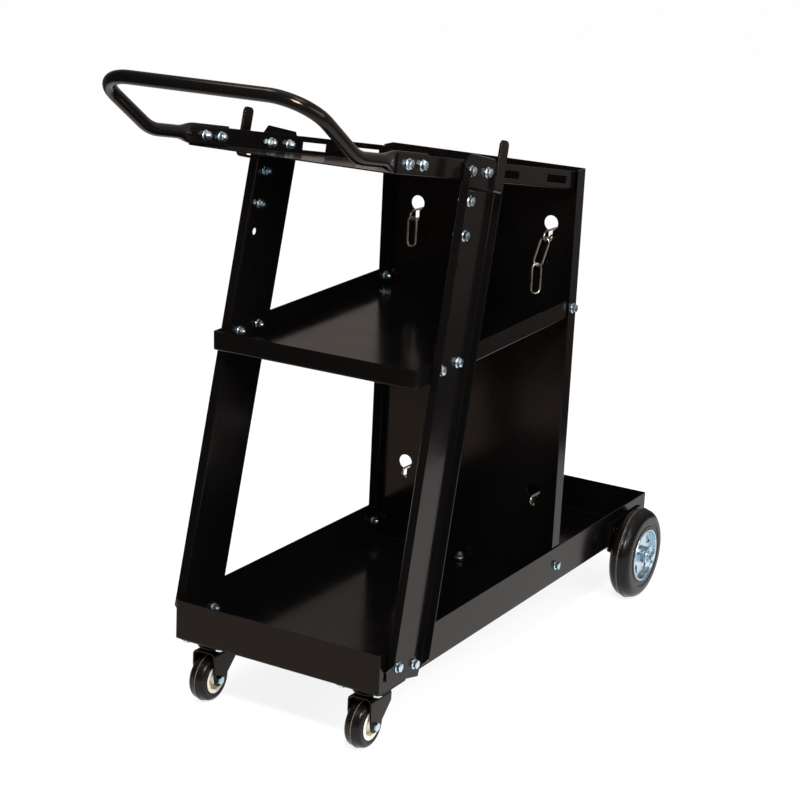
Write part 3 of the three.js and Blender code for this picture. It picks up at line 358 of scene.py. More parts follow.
# %% Fold the middle shelf
shelf_tilt = math.radians(2)
shelf_front, shelf_foot = 63, 449
deck_wall = 24.5
shelf_place = Matrix.Translation((0, shelf_front, shelf_foot)) @ Matrix.Rotation(shelf_tilt, 4, "X")
shelf_half, shelf_rear = shop_box("mid_shelf")[1].xy
shelf_length = (shelf_rear - shelf_front) / math.cos(shelf_tilt)
bm = open_box((-shelf_half, 0, 0), (shelf_half, shelf_length, deck_wall), [up, behind])
fold(bm)
bmesh.ops.transform(bm, matrix=shelf_place, verts=bm.verts)
hand_over("mid_shelf", bm, powder_coat, wall=sheet, edge=0.35)
print("shelf half width and length in mm:", round(shelf_half, 1), round(shelf_length, 1))

# %% [markdown]
# ## Top tray
# The top tray slopes down to the rear, so that a welder's controls face up. It has walls on its two
# long sides only, each with two punched windows. Planes cut the walls along the windows' edges, and
# the faces inside are taken out, which leaves square holes as a punch does.

# %% Fold the top tray and punch its windows
top_tilt = math.radians(-9.4)
top_foot = 711.7
top_place = Matrix.Translation((0, 0, top_foot)) @ Matrix.Rotation(top_tilt, 4, "X")
top_half, top_rear = shop_box("top_tray")[1].xy
top_length = (top_rear + deck_wall * math.sin(top_tilt)) / math.cos(top_tilt)
window_foot, window_head = 7.25, 17.25
windows = [(247, 304), (384, 441)]


def cut(bm, point, way, **trim):
    everything = bm.verts[:] + bm.edges[:] + bm.faces[:]
    bmesh.ops.bisect_plane(bm, geom=everything, plane_co=point, plane_no=way, **trim)


bm = open_box((-top_half, 0, 0), (top_half, top_length, deck_wall), [up, behind, ahead])
fold(bm)
for border in windows[0] + windows[1]:
    cut(bm, behind * border, behind)
for border in (window_foot, window_head):
    cut(bm, up * border, up)
punched = []
for face in bm.faces:
    middle = face.calc_center_median()
    in_window = any(start < middle.y < end for start, end in windows)
    if in_window and window_foot < middle.z < window_head:
        punched.append(face)
bmesh.ops.delete(bm, geom=punched, context="FACES")
bmesh.ops.transform(bm, matrix=top_place, verts=bm.verts)
hand_over("top_tray", bm, powder_coat, wall=sheet, edge=0.3)
print("top tray length in mm:", round(top_length, 1), "windows:", len(punched))

# %% [markdown]
# ## Back panel
# The panel is a tall sheet with flanges folded forward at both sides and along the foot. Four
# keyholes take the bottle chains: a link drops through the round part and is held in the slot. The
# flat face is lifted out and filled again around the keyhole outlines, which leaves clean holes.

# %% Fold the back panel and punch its keyholes
panel_low, panel_high = shop_box("back_panel")
keyhole_x, upper_keyhole, lower_keyhole = 103, 583, 207
keyhole_radius, slot_half, slot_end = 10.25, 3, 21
mouth = math.degrees(math.asin(slot_half / keyhole_radius))


def arc(centre, radius, start, end, steps):
    angles = [math.radians(start + (end - start) * step / steps) for step in range(steps + 1)]
    return [(centre[0] + radius * math.cos(angle), centre[1] + radius * math.sin(angle))
            for angle in angles]


def outline(bm, points):
    verts = [bm.verts.new(point) for point in points]
    return [bm.edges.new(pair) for pair in zip(verts, verts[1:] + verts[:1])]


def pierce(bm, face, holes):
    border = list(face.edges)
    facing = face.normal.copy()
    bmesh.ops.delete(bm, geom=[face], context="FACES_ONLY")
    bmesh.ops.triangle_fill(bm, edges=border + holes, use_beauty=True, normal=facing)


bm = open_box(panel_low, panel_high, [up, ahead])
fold(bm)
rear_face = max(bm.faces, key=lambda face: face.calc_area())
holes = []
for x in (-keyhole_x, keyhole_x):
    for z in (upper_keyhole, lower_keyhole):
        round_part = arc((x, z), keyhole_radius, mouth - 90, 270 - mouth, steps=28)
        slot_part = arc((x, z - slot_end), slot_half, 180, 360, steps=8)
        holes += outline(bm, [(px, panel_high.y, pz) for px, pz in round_part + slot_part])
pierce(bm, rear_face, holes)
bmesh.ops.recalc_face_normals(bm, faces=bm.faces)
hand_over("back_panel", bm, powder_coat, wall=sheet, edge=0.3)
print("panel height in mm:", round(panel_high.z - panel_low.z, 1))

# %% [markdown]
# ## Where the uprights lean
# Each upright stands outside the bottom tray, leans back, and leans in a little to meet the narrower
# top tray. It is drawn upright from a point on the bottom tray's wall, turned back, and pushed inwards
# by a shear, which leaves every height as it is. Its length follows from where it meets the top tray.

# %% Work out the uprights' lean
lean = math.radians(13.4)
foot_y, foot_z = 56.2, 105.6
clearance, past_deck = 0.3, 7
deck_rise = deck_wall / 2 + foot_y * math.sin(top_tilt) + (top_foot - foot_z) * math.cos(top_tilt)
deck_line = deck_rise / math.cos(lean + top_tilt)
web_foot, web_head = -16, deck_line + deck_wall / 2 + past_deck
inward = (tray_high.x - top_half) / (foot_z + web_head * math.cos(lean) - tray_high.z)
web_x = tray_high.x + clearance + inward * tray_high.z
lean_in = Matrix(((1, 0, -inward, web_x), (0, 1, 0, 0), (0, 0, 1, 0), (0, 0, 0, 1)))
upright_place = lean_in @ Matrix.Translation((0, foot_y, foot_z)) @ Matrix.Rotation(-lean, 4, "X")
print("upright height along its lean in mm:", round(web_head - web_foot, 1))

# %% [markdown]
# ## Uprights
# Each upright is a channel with both flanges turned outwards, their ends cut at 45 degrees, and a web
# that reaches past them to be bolted. The open box gives the channel, two slanting cuts trim the
# flanges, a spare hole is punched, and the web's ends are extruded. The left one is the same sheet
# mirrored, with its faces turned round again.

# %% Fold the two uprights
sides = ("left", "right")
web_half, foot_half, head_half, web_past = 44, 39, 32, 12
flange_depth, flange_foot, flange_head = 12, -6, web_head - web_past
spare_hole_y, spare_hole_drop, spare_hole_radius = -24, 114, 4.5


def only(kind, geom):
    return [part for part in geom if isinstance(part, kind)]


def edges_of(verts):
    return list({edge for vert in verts for edge in vert.link_edges})


def stretch_web(bm, start, end, half):
    rim = [edge for edge in bm.edges
           if all(abs(vert.co.z - start) < 0.01 and vert.co.x < 0.01 for vert in edge.verts)]
    for vert in only(BMVert, bmesh.ops.extrude_edge_only(bm, edges=rim)["geom"]):
        vert.co = (0, math.copysign(half, vert.co.y), end)


def mirrored(bm, side):
    if side == "left":
        bmesh.ops.scale(bm, vec=(-1, 1, 1), verts=bm.verts)
        bmesh.ops.reverse_faces(bm, faces=bm.faces)
    return bm


for side in sides:
    bm = open_box((0, -web_half, flange_foot), (flange_depth, web_half, flange_head), [right, up, down])
    fold(bm)
    cut(bm, up * flange_head, right + up, clear_outer=True)
    cut(bm, up * flange_foot, right + down, clear_outer=True)
    web = max(bm.faces, key=lambda face: face.calc_area())
    spare_hole = Matrix.Translation((0, spare_hole_y, deck_line - spare_hole_drop))
    rim = bmesh.ops.create_circle(bm, segments=24, radius=spare_hole_radius,
                                  matrix=spare_hole @ Matrix.Rotation(math.pi / 2, 4, "Y"))
    pierce(bm, web, edges_of(rim["verts"]))
    stretch_web(bm, flange_head, web_head, head_half)
    stretch_web(bm, flange_foot, web_foot, foot_half)
    bmesh.ops.recalc_face_normals(bm, faces=bm.faces)
    bmesh.ops.transform(bm, matrix=upright_place, verts=bm.verts)
    hand_over(side + "_upright", mirrored(bm, side), powder_coat, wall=sheet, edge=0.35)
print("flange height in mm:", round(flange_head - flange_foot, 1))

# %% [markdown]
# ## Cable hooks
# Two strips of flat bar are bolted to the uprights, stepped outwards and turned up, so that coiled
# leads can hang on them. Four points give the strip's middle line. It is extruded to its width,
# folded at the two corners, and its ends are rounded with a vertex bevel.

# %% Bend the cable hooks
hook_bar, hook_front, hook_width, hook_reach = 3, -34, 20, 36
hook_bend, hook_round = 4, 6.5
hook_near = sheet + clearance + hook_bar / 2
hook_far = hook_near + hook_reach
hook_foot, hook_step, hook_top = deck_line - 87.5, deck_line - 22.5, deck_line + 39
hook_line = [(hook_near, hook_foot), (hook_near, hook_step), (hook_far, hook_step), (hook_far, hook_top)]
for side in sides:
    bm = bmesh.new()
    verts = [bm.verts.new((x, hook_front, z)) for x, z in hook_line]
    strip = [bm.edges.new(pair) for pair in zip(verts, verts[1:])]
    wide = only(BMVert, bmesh.ops.extrude_edge_only(bm, edges=strip)["geom"])
    bmesh.ops.translate(bm, vec=(0, hook_width, 0), verts=wide)
    fold(bm, radius=hook_bend)
    ends = [vert for vert in bm.verts if len(vert.link_edges) == 2]
    round_off(bm, ends, hook_round, affect="VERTICES")
    bmesh.ops.transform(bm, matrix=upright_place, verts=bm.verts)
    hand_over(side + "_cable_hook", mirrored(bm, side), powder_coat, wall=hook_bar, side=0, edge=0.5)
print("hook top along the upright in mm:", round(hook_top, 1))

# %% [markdown]
# ## Tubes
# The handle, the split pins and the chain links are all round steel along a line. A tube is a row of
# rings across its line, joined by the bridge_loops operator. That costs more thought than a curve
# with a round bevel, but every ring can be flattened and squared, as the handle's ends need.

# %% Join rings into a tube
def ring_across(point, along, wide, half_wide, half_thick):
    thick = wide.cross(along).normalized()
    square = along.cross(thick).normalized()
    axes = Matrix((thick * half_thick, square * half_wide, along)).transposed()
    return Matrix.Translation(point) @ axes.to_4x4()


def tube(bm, rings, sides, closed=False, squared=None):
    loops = []
    for number, ring in enumerate(rings):
        verts = bmesh.ops.create_circle(bm, segments=sides, radius=1)["verts"]
        power = 1 - (squared[number] if squared else 0)
        for vert in verts:
            flat = [math.copysign(abs(part) ** power, part) for part in vert.co.xy]
            vert.co = ring @ Vector((*flat, 0))
        loops.append(edges_of(verts))
    for near, far in zip(loops, loops[1:] + loops[:closed]):
        bmesh.ops.bridge_loops(bm, edges=near + far)
    if not closed:
        bmesh.ops.edgeloop_fill(bm, edges=loops[0] + loops[-1])
    bmesh.ops.recalc_face_normals(bm, faces=bm.faces)


tube_radius = 7.88
print("handle tube diameter in mm:", 2 * tube_radius)

# %% [markdown]
# ## The push handle's line
# The handle is one steel tube bent four times, with its ends pressed flat and bolted inside the top
# tray's walls. Its line runs from one flat end over a bend at the knee to a bend at the upper corner.
# The other half is that half mirrored and run backwards, so only one half has to be measured.

# %% Draw the push handle's line
flat_length, neck_length, flat_half_wide, flat_half_thick = 72, 30, 12.5, 2
knee_ahead, knee_bend, corner_bend = 82, 72, 49
rise_length, rise = 125, math.radians(35)
handle_x = top_half - sheet - clearance - flat_half_thick
handle_height = sheet + clearance + flat_half_wide


def pressed_end(end, knee):
    along = (knee - end).normalized()
    for step in (0, 36, 66, *range(flat_length, flat_length + neck_length + 1, 6)):
        ease = min(max((step - flat_length) / neck_length, 0), 1)
        yield end + along * step, along, 1 - ease * ease * (3 - 2 * ease)


def bent(before, corner, after, radius, steps):
    incoming = (corner - before).normalized()
    outgoing = (after - corner).normalized()
    turn = incoming.angle(outgoing)
    start = corner - incoming * radius * math.tan(turn / 2)
    inwards = (outgoing - incoming * incoming.dot(outgoing)).normalized()
    for step in range(steps + 1):
        angle = turn * step / steps
        point = start + incoming * radius * math.sin(angle) + inwards * radius * (1 - math.cos(angle))
        yield point, incoming * math.cos(angle) + inwards * math.sin(angle), 0


flat_end = top_place @ Vector((handle_x, flat_length, handle_height))
knee = top_place @ Vector((handle_x, -knee_ahead, handle_height))
corner = knee + Vector((0, -rise_length * math.cos(rise), rise_length * math.sin(rise)))
other = Vector((-1, 1, 1))
half_route = [*pressed_end(flat_end, knee), *bent(flat_end, knee, corner, knee_bend, steps=8),
              *bent(knee, corner, corner * other, corner_bend, steps=14)]
route = half_route + [(point * other, -(along * other), flat)
                      for point, along, flat in reversed(half_route)]
print("points on the handle's line:", len(route))

# %% [markdown]
# ## Push handle
# A ring is set across every point of the line. Its wide axis stays in the plane of the bend, so that
# the flat ends lie against the walls and the tube doesn't twist. A ring in a flat end is wide, thin
# and squared, and the neck blends it back to round.

# %% Bend the push handle
flat_squareness = 0.65
bar_up = (corner - knee).cross(right).normalized()
rings, squared = [], []
for point, along, flat in route:
    wide = bar_up
    if abs(along.x) < 1e-6:
        wide = along.cross(right)
        wide *= math.copysign(1, wide.dot(bar_up))
    half_wide = tube_radius + (flat_half_wide - tube_radius) * flat
    half_thick = tube_radius + (flat_half_thick - tube_radius) * flat
    rings.append(ring_across(point, along, wide, half_wide, half_thick))
    squared.append(flat_squareness * flat)
bm = bmesh.new()
tube(bm, rings, sides=28, squared=squared)
hand_over("push_handle", bm, powder_coat)
print("handle rings:", len(rings))

# %% [markdown]
# ## Turned and six-sided forms
# Much of the hardware is round or six-sided. A round form is its profile spun once about its axis. A
# bolt head is a six-sided circle extruded to its height, with an inset that lifts the chamfer. A
# bmesh doesn't keep its points in the order they were made, so a helper notes which were there before.

# %% Spin profiles and raise hexagons
bolt_flats, chamfer_rise, chamfer_width = 10, 0.5, 0.9


def added(bm, before):
    return [vert for vert in bm.verts if vert not in before]


def faces_of(verts):
    return list({face for vert in verts for face in vert.link_faces})


def turned(bm, profile, steps, place=Matrix()):
    before = set(bm.verts)
    verts = [bm.verts.new((radius, 0, height)) for radius, height in profile]
    edges = [bm.edges.new(pair) for pair in zip(verts, verts[1:])]
    bmesh.ops.spin(bm, geom=verts + edges, cent=(0, 0, 0), axis=up, angle=2 * math.pi, steps=steps,
                   use_merge=True)
    bmesh.ops.remove_doubles(bm, verts=added(bm, before), dist=0.001)
    bmesh.ops.recalc_face_normals(bm, faces=faces_of(added(bm, before)))
    bmesh.ops.transform(bm, matrix=place, verts=added(bm, before))


def hexagon(bm, height, turn, place):
    before = set(bm.verts)
    bmesh.ops.create_circle(bm, cap_ends=True, segments=6, radius=bolt_flats / math.sqrt(3),
                            matrix=Matrix.Rotation(turn, 4, "Z"))
    base = faces_of(added(bm, before))
    lid = only(BMFace, bmesh.ops.extrude_face_region(bm, geom=base, use_keep_orig=True)["geom"])
    bmesh.ops.translate(bm, vec=up * (height - chamfer_rise), verts=lid[0].verts)
    bmesh.ops.recalc_face_normals(bm, faces=faces_of(added(bm, before)))
    bmesh.ops.inset_region(bm, faces=lid, thickness=chamfer_width, depth=chamfer_rise)
    bmesh.ops.transform(bm, matrix=place, verts=added(bm, before))


print("bolt head across its corners in mm:", round(2 * bolt_flats / math.sqrt(3), 1))

# %% [markdown]
# ## A hex bolt
# Bright zinc bolts hold the cart together: a hexagon head on a round flange, a flange nut inside and
# a few threads past it. The threads are a zigzag profile spun about the bolt, rings rather than a
# helix, because nobody can tell at this size.

# %% Put a bolt together
bolt_head, bolt_nut, bolt_tail, bolt_flange = 5.5, 6, 3, 13.6
thread_pitch, thread_depth, end_taper = 1.25, 0.6, 0.8
head_down = Matrix.Rotation(math.pi, 4, "X")


def threads(low, high, radius):
    profile = [(0, low), (radius - end_taper, low)]
    for turn in range(int((high - low) / thread_pitch)):
        profile.append((radius, low + thread_pitch * (turn + 0.5)))
        profile.append((radius - thread_depth, low + thread_pitch * (turn + 1)))
    return profile + [(0, high)]


def bolt(bm, place, grip, turn, shank=6, head=bolt_head, nut=bolt_nut, tail=bolt_tail,
         flange=bolt_flange):
    before = set(bm.verts)
    rim = flange / 2
    nut_place = Matrix.Translation((0, 0, -grip)) @ head_down
    for end, height, twist in ((Matrix(), head, turn), (nut_place, nut, turn + 0.5)):
        hexagon(bm, height, twist, end)
        if flange:
            turned(bm, [(0, 0), (rim, 0), (rim, 0.7), (rim - 1, 1.4), (0, 1.8)], steps=32, place=end)
    turned(bm, threads(-grip - nut - tail, 0, shank / 2), steps=20)
    bmesh.ops.transform(bm, matrix=place, verts=added(bm, before))


print("bolt head, nut and free thread in mm:", bolt_head, bolt_nut, bolt_tail)

# %% [markdown]
# ## All the bolts
# Each bolt lies where its CAD node is, and its grip is what is left of the node's length after head,
# nut and free thread. Bolts on the left have their heads to the left. The panel's foot is bolted from
# below. Each bolt is turned a little further than the last, as no fitter lines them up.

# %% Place the bolts
to_right = Matrix.Rotation(math.pi / 2, 4, "Y")
to_left = Matrix.Rotation(-math.pi / 2, 4, "Y")


def placed(point, heading):
    return Matrix.Translation(point) @ heading


bolt_nodes = sorted(node for node in frame["nodes"] if "_bolt" in node and "axle" not in node)
for number, node in enumerate(bolt_nodes):
    low, high = shop_box(node)
    reach, heading = high.x - low.x, to_left if node.startswith("left") else to_right
    if node == "panel_floor_bolt":
        reach, heading = high.z - low.z, head_down
    seat = (low + high) / 2 + heading.to_3x3() @ Vector((0, 0, reach / 2 - bolt_head))
    bm = bmesh.new()
    grip = reach - bolt_head - bolt_nut - bolt_tail
    bolt(bm, placed(seat, heading), grip, turn=number * 0.7)
    hand_over(node, bm, zinc_plate, edge=0.15)
print("bolts:", len(bolt_nodes))

# %% [markdown]
# ## Caster plates
# A caster hangs from a square black plate, held under the tray by four bright bolts. Below the plate
# sits the ball race, a pressed cup with a rounded rim, and the king pin that the fork turns on,
# riveted over at its end. The plate is a beveled box, and everything round is a profile spun about the
# swivel axis. The bolts' faces take a second material, the zinc.

# %% Make the caster plates
swivels = {"left": Vector((-116, 39, 0)), "right": Vector((116, 39, 0))}
plate_half, plate_low, plate_high, plate_corner = 33, 81.2, 83.7, 6
bolt_spread, plate_grip = 25, 4.6
low_bolt = {"head": 4, "nut": 5, "tail": 1, "flange": 0}
race_foot, pin_foot = 69.8, 63.7
race_profile = [
    (0, plate_low), (24, plate_low), (25, 80.4), (25, 78.2), (24.2, 77), (21.4, 76.2), (21.4, 74.8),
    (22, 74), (22, 71.4), (20.5, race_foot), (0, race_foot)]
pin_profile = [
    (0, pin_foot), (6, pin_foot), (8.6, 64.4), (9.5, 65.6), (9.5, 66.4), (6, 66.7),
    (6, race_foot + 1), (0, race_foot + 1)]
for side, swivel in swivels.items():
    bm = open_box((-plate_half, -plate_half, plate_low), (plate_half, plate_half, plate_high), [])
    posts = [edge for edge in bm.edges if abs(edge.verts[0].co.z - edge.verts[1].co.z) > 1]
    round_off(bm, posts, plate_corner)
    turned(bm, race_profile, steps=48)
    turned(bm, pin_profile, steps=32)
    before = set(bm.verts)
    for across in (-bolt_spread, bolt_spread):
        for along in (-bolt_spread, bolt_spread):
            under = placed((across, along, plate_low), head_down)
            bolt(bm, under, plate_grip, turn=across * 0.02 + along * 0.05, **low_bolt)
    for face in faces_of(added(bm, before)):
        face.material_index = 1
    bmesh.ops.translate(bm, vec=swivel, verts=bm.verts)
    plate = hand_over(side + "_caster_plate", bm, powder_coat, edge=0.2)
    plate.data.materials.append(zinc_plate)
print("plate top in mm:", plate_high)

# %% [markdown]
# ## Caster forks
# The fork is pressed from one plate: a crown under the race and two cheeks that taper to the axle. Half
# of it is drawn as a cheek outline whose upper edge is spun through a quarter turn to make the
# rounded shoulder, then extruded to the middle and mirrored.

# %% Press the caster forks
caster_radius = 31
fork_plate, fork_inner, crown_top, shoulder = 2.5, 14.5, 69.5, 6
cheek = fork_inner + fork_plate / 2
shoulder_foot = crown_top - fork_plate / 2 - shoulder
cheek_front, cheek_rear, cheek_eye, cheek_eye_radius = (-24, 49.5), (24, 53.5), (-12.5, caster_radius), 9


# The angle at which a straight edge from the point meets a round eye without a corner.
def touch(point, centre, radius, way):
    apart = Vector(point) - Vector(centre)
    return math.degrees(math.atan2(apart.y, apart.x) + way * math.acos(radius / apart.length))


def hanger(top, front, rear, eye, radius):
    start, end = touch(front, eye, radius, 1), touch(rear, eye, radius, -1)
    lower = arc(eye, radius, start, end if end > start else end + 360, steps=16)
    return [(front[0], top), front] + lower + [rear, (rear[0], top)]


def pressed_fork():
    bm = bmesh.new()
    points = hanger(shoulder_foot, cheek_front, cheek_rear, cheek_eye, cheek_eye_radius)
    edges = outline(bm, [(cheek, y, z) for y, z in points])
    bmesh.ops.edgeloop_fill(bm, edges=edges)
    top = edges[-1]
    made = bmesh.ops.spin(bm, geom=[*top.verts, top], cent=(cheek - shoulder, 0, shoulder_foot),
                          axis=behind, angle=-math.pi / 2, steps=7)
    crown = bmesh.ops.extrude_edge_only(bm, edges=only(BMEdge, made["geom_last"]))["geom"]
    for vert in only(BMVert, crown):
        vert.co.x = 0
    bmesh.ops.mirror(bm, geom=bm.verts[:] + bm.edges[:] + bm.faces[:], axis="X", merge_dist=0.01)
    bmesh.ops.remove_doubles(bm, verts=bm.verts, dist=0.01)
    bmesh.ops.recalc_face_normals(bm, faces=bm.faces)
    return bm


for side, swivel in swivels.items():
    bm = pressed_fork()
    bmesh.ops.translate(bm, vec=swivel, verts=bm.verts)
    hand_over(side + "_caster_fork", bm, powder_coat, wall=fork_plate, side=0, edge=0.5)
print("fork cheeks stand at x = +-", cheek, "from the swivel axis")

# %% [markdown]
# ## Tyres
# Every tyre is a profile spun about its axle: a flat sidewall, a round shoulder and a slightly crowned
# tread with the mould's fine line round its middle. Half of the profile is drawn and mirrored. The
# faces of the line take a second material, the lighter brown line rubber.

# %% Draw a tyre and mould it
line_half, crest_half = 0.6, 0.25


def both_sides(half):
    return half + [(radius, -width) for radius, width in reversed(half) if width]


def tyre_profile(radius, half, bore, crown, shoulder, line, sidewall):
    edge, run = radius - crown, half - shoulder
    points = [(bore, half)] + sidewall + arc((edge - shoulder, run), shoulder, 90, 0, steps=10)
    points += [(edge + crown * (1 - share ** 2) - line, run * share) for share in (0.75, 0.5, 0.25)]
    points += [(radius - line, line_half), (radius, crest_half)]
    return both_sides(points) + points[:1]


def mould_tyre(node, profile, radius, steps, place):
    bm = bmesh.new()
    turned(bm, profile, steps)
    for face in bm.faces:
        middle = face.calc_center_median()
        if abs(middle.z) < line_half and middle.xy.length > radius - line_half:
            face.material_index = 1
    bmesh.ops.transform(bm, matrix=place, verts=bm.verts)
    hand_over(node, bm, moulded_rubber).data.materials.append(light_line_rubber)


print("mould line width in mm:", 2 * line_half)

# %% [markdown]
# ## Caster wheels
# A caster wheel is a rubber tyre moulded on a nylon centre, and a bolt through the fork is its axle.
# The centre is a thin web between a hub and an outer ring, one profile spun about the axle.

# %% Turn the caster wheels
caster_axle = Vector((0, *cheek_eye))
bolt_seat = fork_inner + fork_plate + clearance
caster_tyre = tyre_profile(
    radius=caster_radius, half=12, bore=19.3, crown=1.5, shoulder=6.5, line=0.35,
    sidewall=[(20.8, 12), (21.3, 11.4), (22.2, 11.7)])
hub_half = [
    (4.4, 14.2), (7.5, 14.2), (7.5, 4.4), (8.1, 4), (13.4, 4), (14, 4.4), (14, 11.5), (14.5, 12),
    (18.5, 12), (19, 11.5), (19, 0)]
for side, swivel in swivels.items():
    place = placed(swivel + caster_axle, to_right)
    mould_tyre(side + "_caster_tyre", caster_tyre, caster_radius, steps=64, place=place)
    bm = bmesh.new()
    turned(bm, both_sides(hub_half) + hub_half[:1], steps=64, place=place)
    hand_over(side + "_caster_hub", bm, cream_nylon)
    bm = bmesh.new()
    seat = placed(swivel + caster_axle + right * bolt_seat, to_right)
    bolt(bm, seat, 2 * bolt_seat, turn=0.4, shank=8, **low_bolt)
    hand_over(side + "_caster_axle_bolt", bm, zinc_plate, edge=0.2)
print("caster tyre profile points:", len(caster_tyre))

# %% [markdown]
# ## The rear wheels' webs
# The web of a rear wheel is a pressed disc with four rounded windows, set back from the rim's edge. It
# is a flat ring filled around the window outlines and then extruded to its thickness, because a fill
# needs no cutting tool and leaves clean holes.

# %% Cut the web of a rear wheel
web_out, web_plate, web_bore, web_rim = 10, 3, 12, 36
window_corners = [(18.5, 0), (31, 23), (31, -23)]
window_round = 3.2


def rounded_window(bm, middle):
    verts = []
    for radius, spread in window_corners:
        angle = middle + math.radians(spread)
        verts.append(bm.verts.new((radius * math.cos(angle), radius * math.sin(angle), web_out)))
    bm.faces.new(verts)
    round_off(bm, verts, window_round, affect="VERTICES", segments=5)
    window = [face for face in bm.faces if len(face.verts) > 3][0]
    border = list(window.edges)
    bmesh.ops.delete(bm, geom=[window], context="FACES_ONLY")
    return border


def wheel_web(bm):
    borders = []
    for quarter in range(4):
        borders += rounded_window(bm, math.pi / 2 * (quarter + 0.5))
    for radius in (web_bore, web_rim):
        ring = bmesh.ops.create_circle(bm, segments=64, radius=radius,
                                       matrix=Matrix.Translation(up * web_out))
        borders += edges_of(ring["verts"])
    front = only(BMFace, bmesh.ops.triangle_fill(bm, edges=borders, use_beauty=True, normal=up)["geom"])
    rear = bmesh.ops.extrude_face_region(bm, geom=front, use_keep_orig=True)["geom"]
    bmesh.ops.translate(bm, vec=down * web_plate, verts=only(BMVert, rear))
    bmesh.ops.recalc_face_normals(bm, faces=bm.faces)


print("web thickness in mm:", web_plate)

# %% [markdown]
# ## Rear wheels
# The rear wheels are solid rubber tyres on pressed steel centres. The tyre has a ring step on each
# sidewall. The centre is a rim with a rolled lip, the web and a long hub tube, all in one piece.

# %% Turn the rear tyres and centres
rear_radius, wheel_out, axle_bore = 67.5, 172.6, 6.4
axle = Vector((0, 697, rear_radius))
headings = {"left": to_left, "right": to_right}
rear_tyre = tyre_profile(
    radius=rear_radius, half=16, bore=39.3, crown=1.5, shoulder=12.8, line=0.5,
    sidewall=[(42.4, 16), (43.3, 15.2), (47, 15.2), (48, 16)])
rim_lip = [(36.6, 9.9), (36, 15.4), (36.4, 16.6), (37.5, 17.1), (38.6, 16.7), (39, 15.8), (39, 0)]
rim_section = both_sides(rim_lip) + [(35.2, -9.9), (35.2, 9.9)] + rim_lip[:1]
hub_tube = [(axle_bore, 19), (11.8, 19), (12.5, 18.3)]
for side, heading in headings.items():
    place = placed(axle, heading) @ Matrix.Translation(up * wheel_out)
    mould_tyre(side + "_rear_tyre", rear_tyre, rear_radius, steps=96, place=place)
    bm = bmesh.new()
    wheel_web(bm)
    turned(bm, rim_section, steps=72)
    turned(bm, both_sides(hub_tube) + hub_tube[:1], steps=40)
    bmesh.ops.transform(bm, matrix=place, verts=bm.verts)
    hand_over(side + "_rear_hub", bm, zinc_plate, edge=0.25)
print("rear tyre profile points:", len(rear_tyre))

# %% [markdown]
# ## Rear axle
# A plain steel rod with chamfered ends carries both rear wheels. It is a profile spun about its line.

# %% Turn the rear axle
axle_end = shop_box("rear_axle")[1].x
axle_radius, axle_chamfer = 6, 1.2
rod = [(0, axle_end), (axle_radius - axle_chamfer, axle_end), (axle_radius, axle_end - axle_chamfer)]
bm = bmesh.new()
turned(bm, both_sides(rod), steps=40, place=placed(axle, to_right))
hand_over("rear_axle", bm, zinc_plate)
print("axle length in mm:", round(2 * axle_end, 1))

# %% [markdown]
# ## Washers and split pins
# A washer and a split pin hold each wheel on. The pin is one wire doubled on itself: a tube along a
# path that runs up one leg, round the eye and back down the other, with the free ends spread a little,
# as they are after fitting.

# %% Fit the washers and split pins
washer_radius, pin_half_wide, pin_half_thick = 13, 1, 0.75
near_leg = [(1.7, -10.6), (0.85, -8), (0.8, 0), (0.8, 10.4)]
far_leg = [(-0.8, 10.4), (-0.8, 0), (-0.85, -8), (-1.3, -9.4)]
pin_path = near_leg + arc((0, 14.2), 2.6, -70, 250, steps=20) + far_leg
for side, heading in headings.items():
    inner, outer = sorted(abs(corner.x) for corner in shop_box(side + "_axle_washer"))
    washer = [(axle_bore, inner), (washer_radius, inner), (washer_radius, outer), (axle_bore, outer)]
    bm = bmesh.new()
    turned(bm, washer + washer[:1], steps=40, place=placed(axle, heading))
    hand_over(side + "_axle_washer", bm, zinc_plate, edge=0.2)
    pin_x = sum(corner.x for corner in shop_box(side + "_split_pin")) / 2
    points = [Vector((pin_x, axle.y + y, axle.z + z)) for y, z in pin_path]
    rings = []
    for before, point, after in zip(points[:1] + points[:-1], points, points[1:] + points[-1:]):
        along = (after - before).normalized()
        rings.append(ring_across(point, along, right, pin_half_wide, pin_half_thick))
    bm = bmesh.new()
    tube(bm, rings, sides=12)
    hand_over(side + "_split_pin", bm, zinc_plate)
print("rings in a split pin:", len(rings))

# %% [markdown]
# ## Axle brackets
# A plate riveted to each tray wall holds the axle, and narrows to a rounded eye around it. The plate is
# one outline, filled and extruded to its thickness. The rivets have low domed heads on both sides, a
# short profile spun about each rivet.

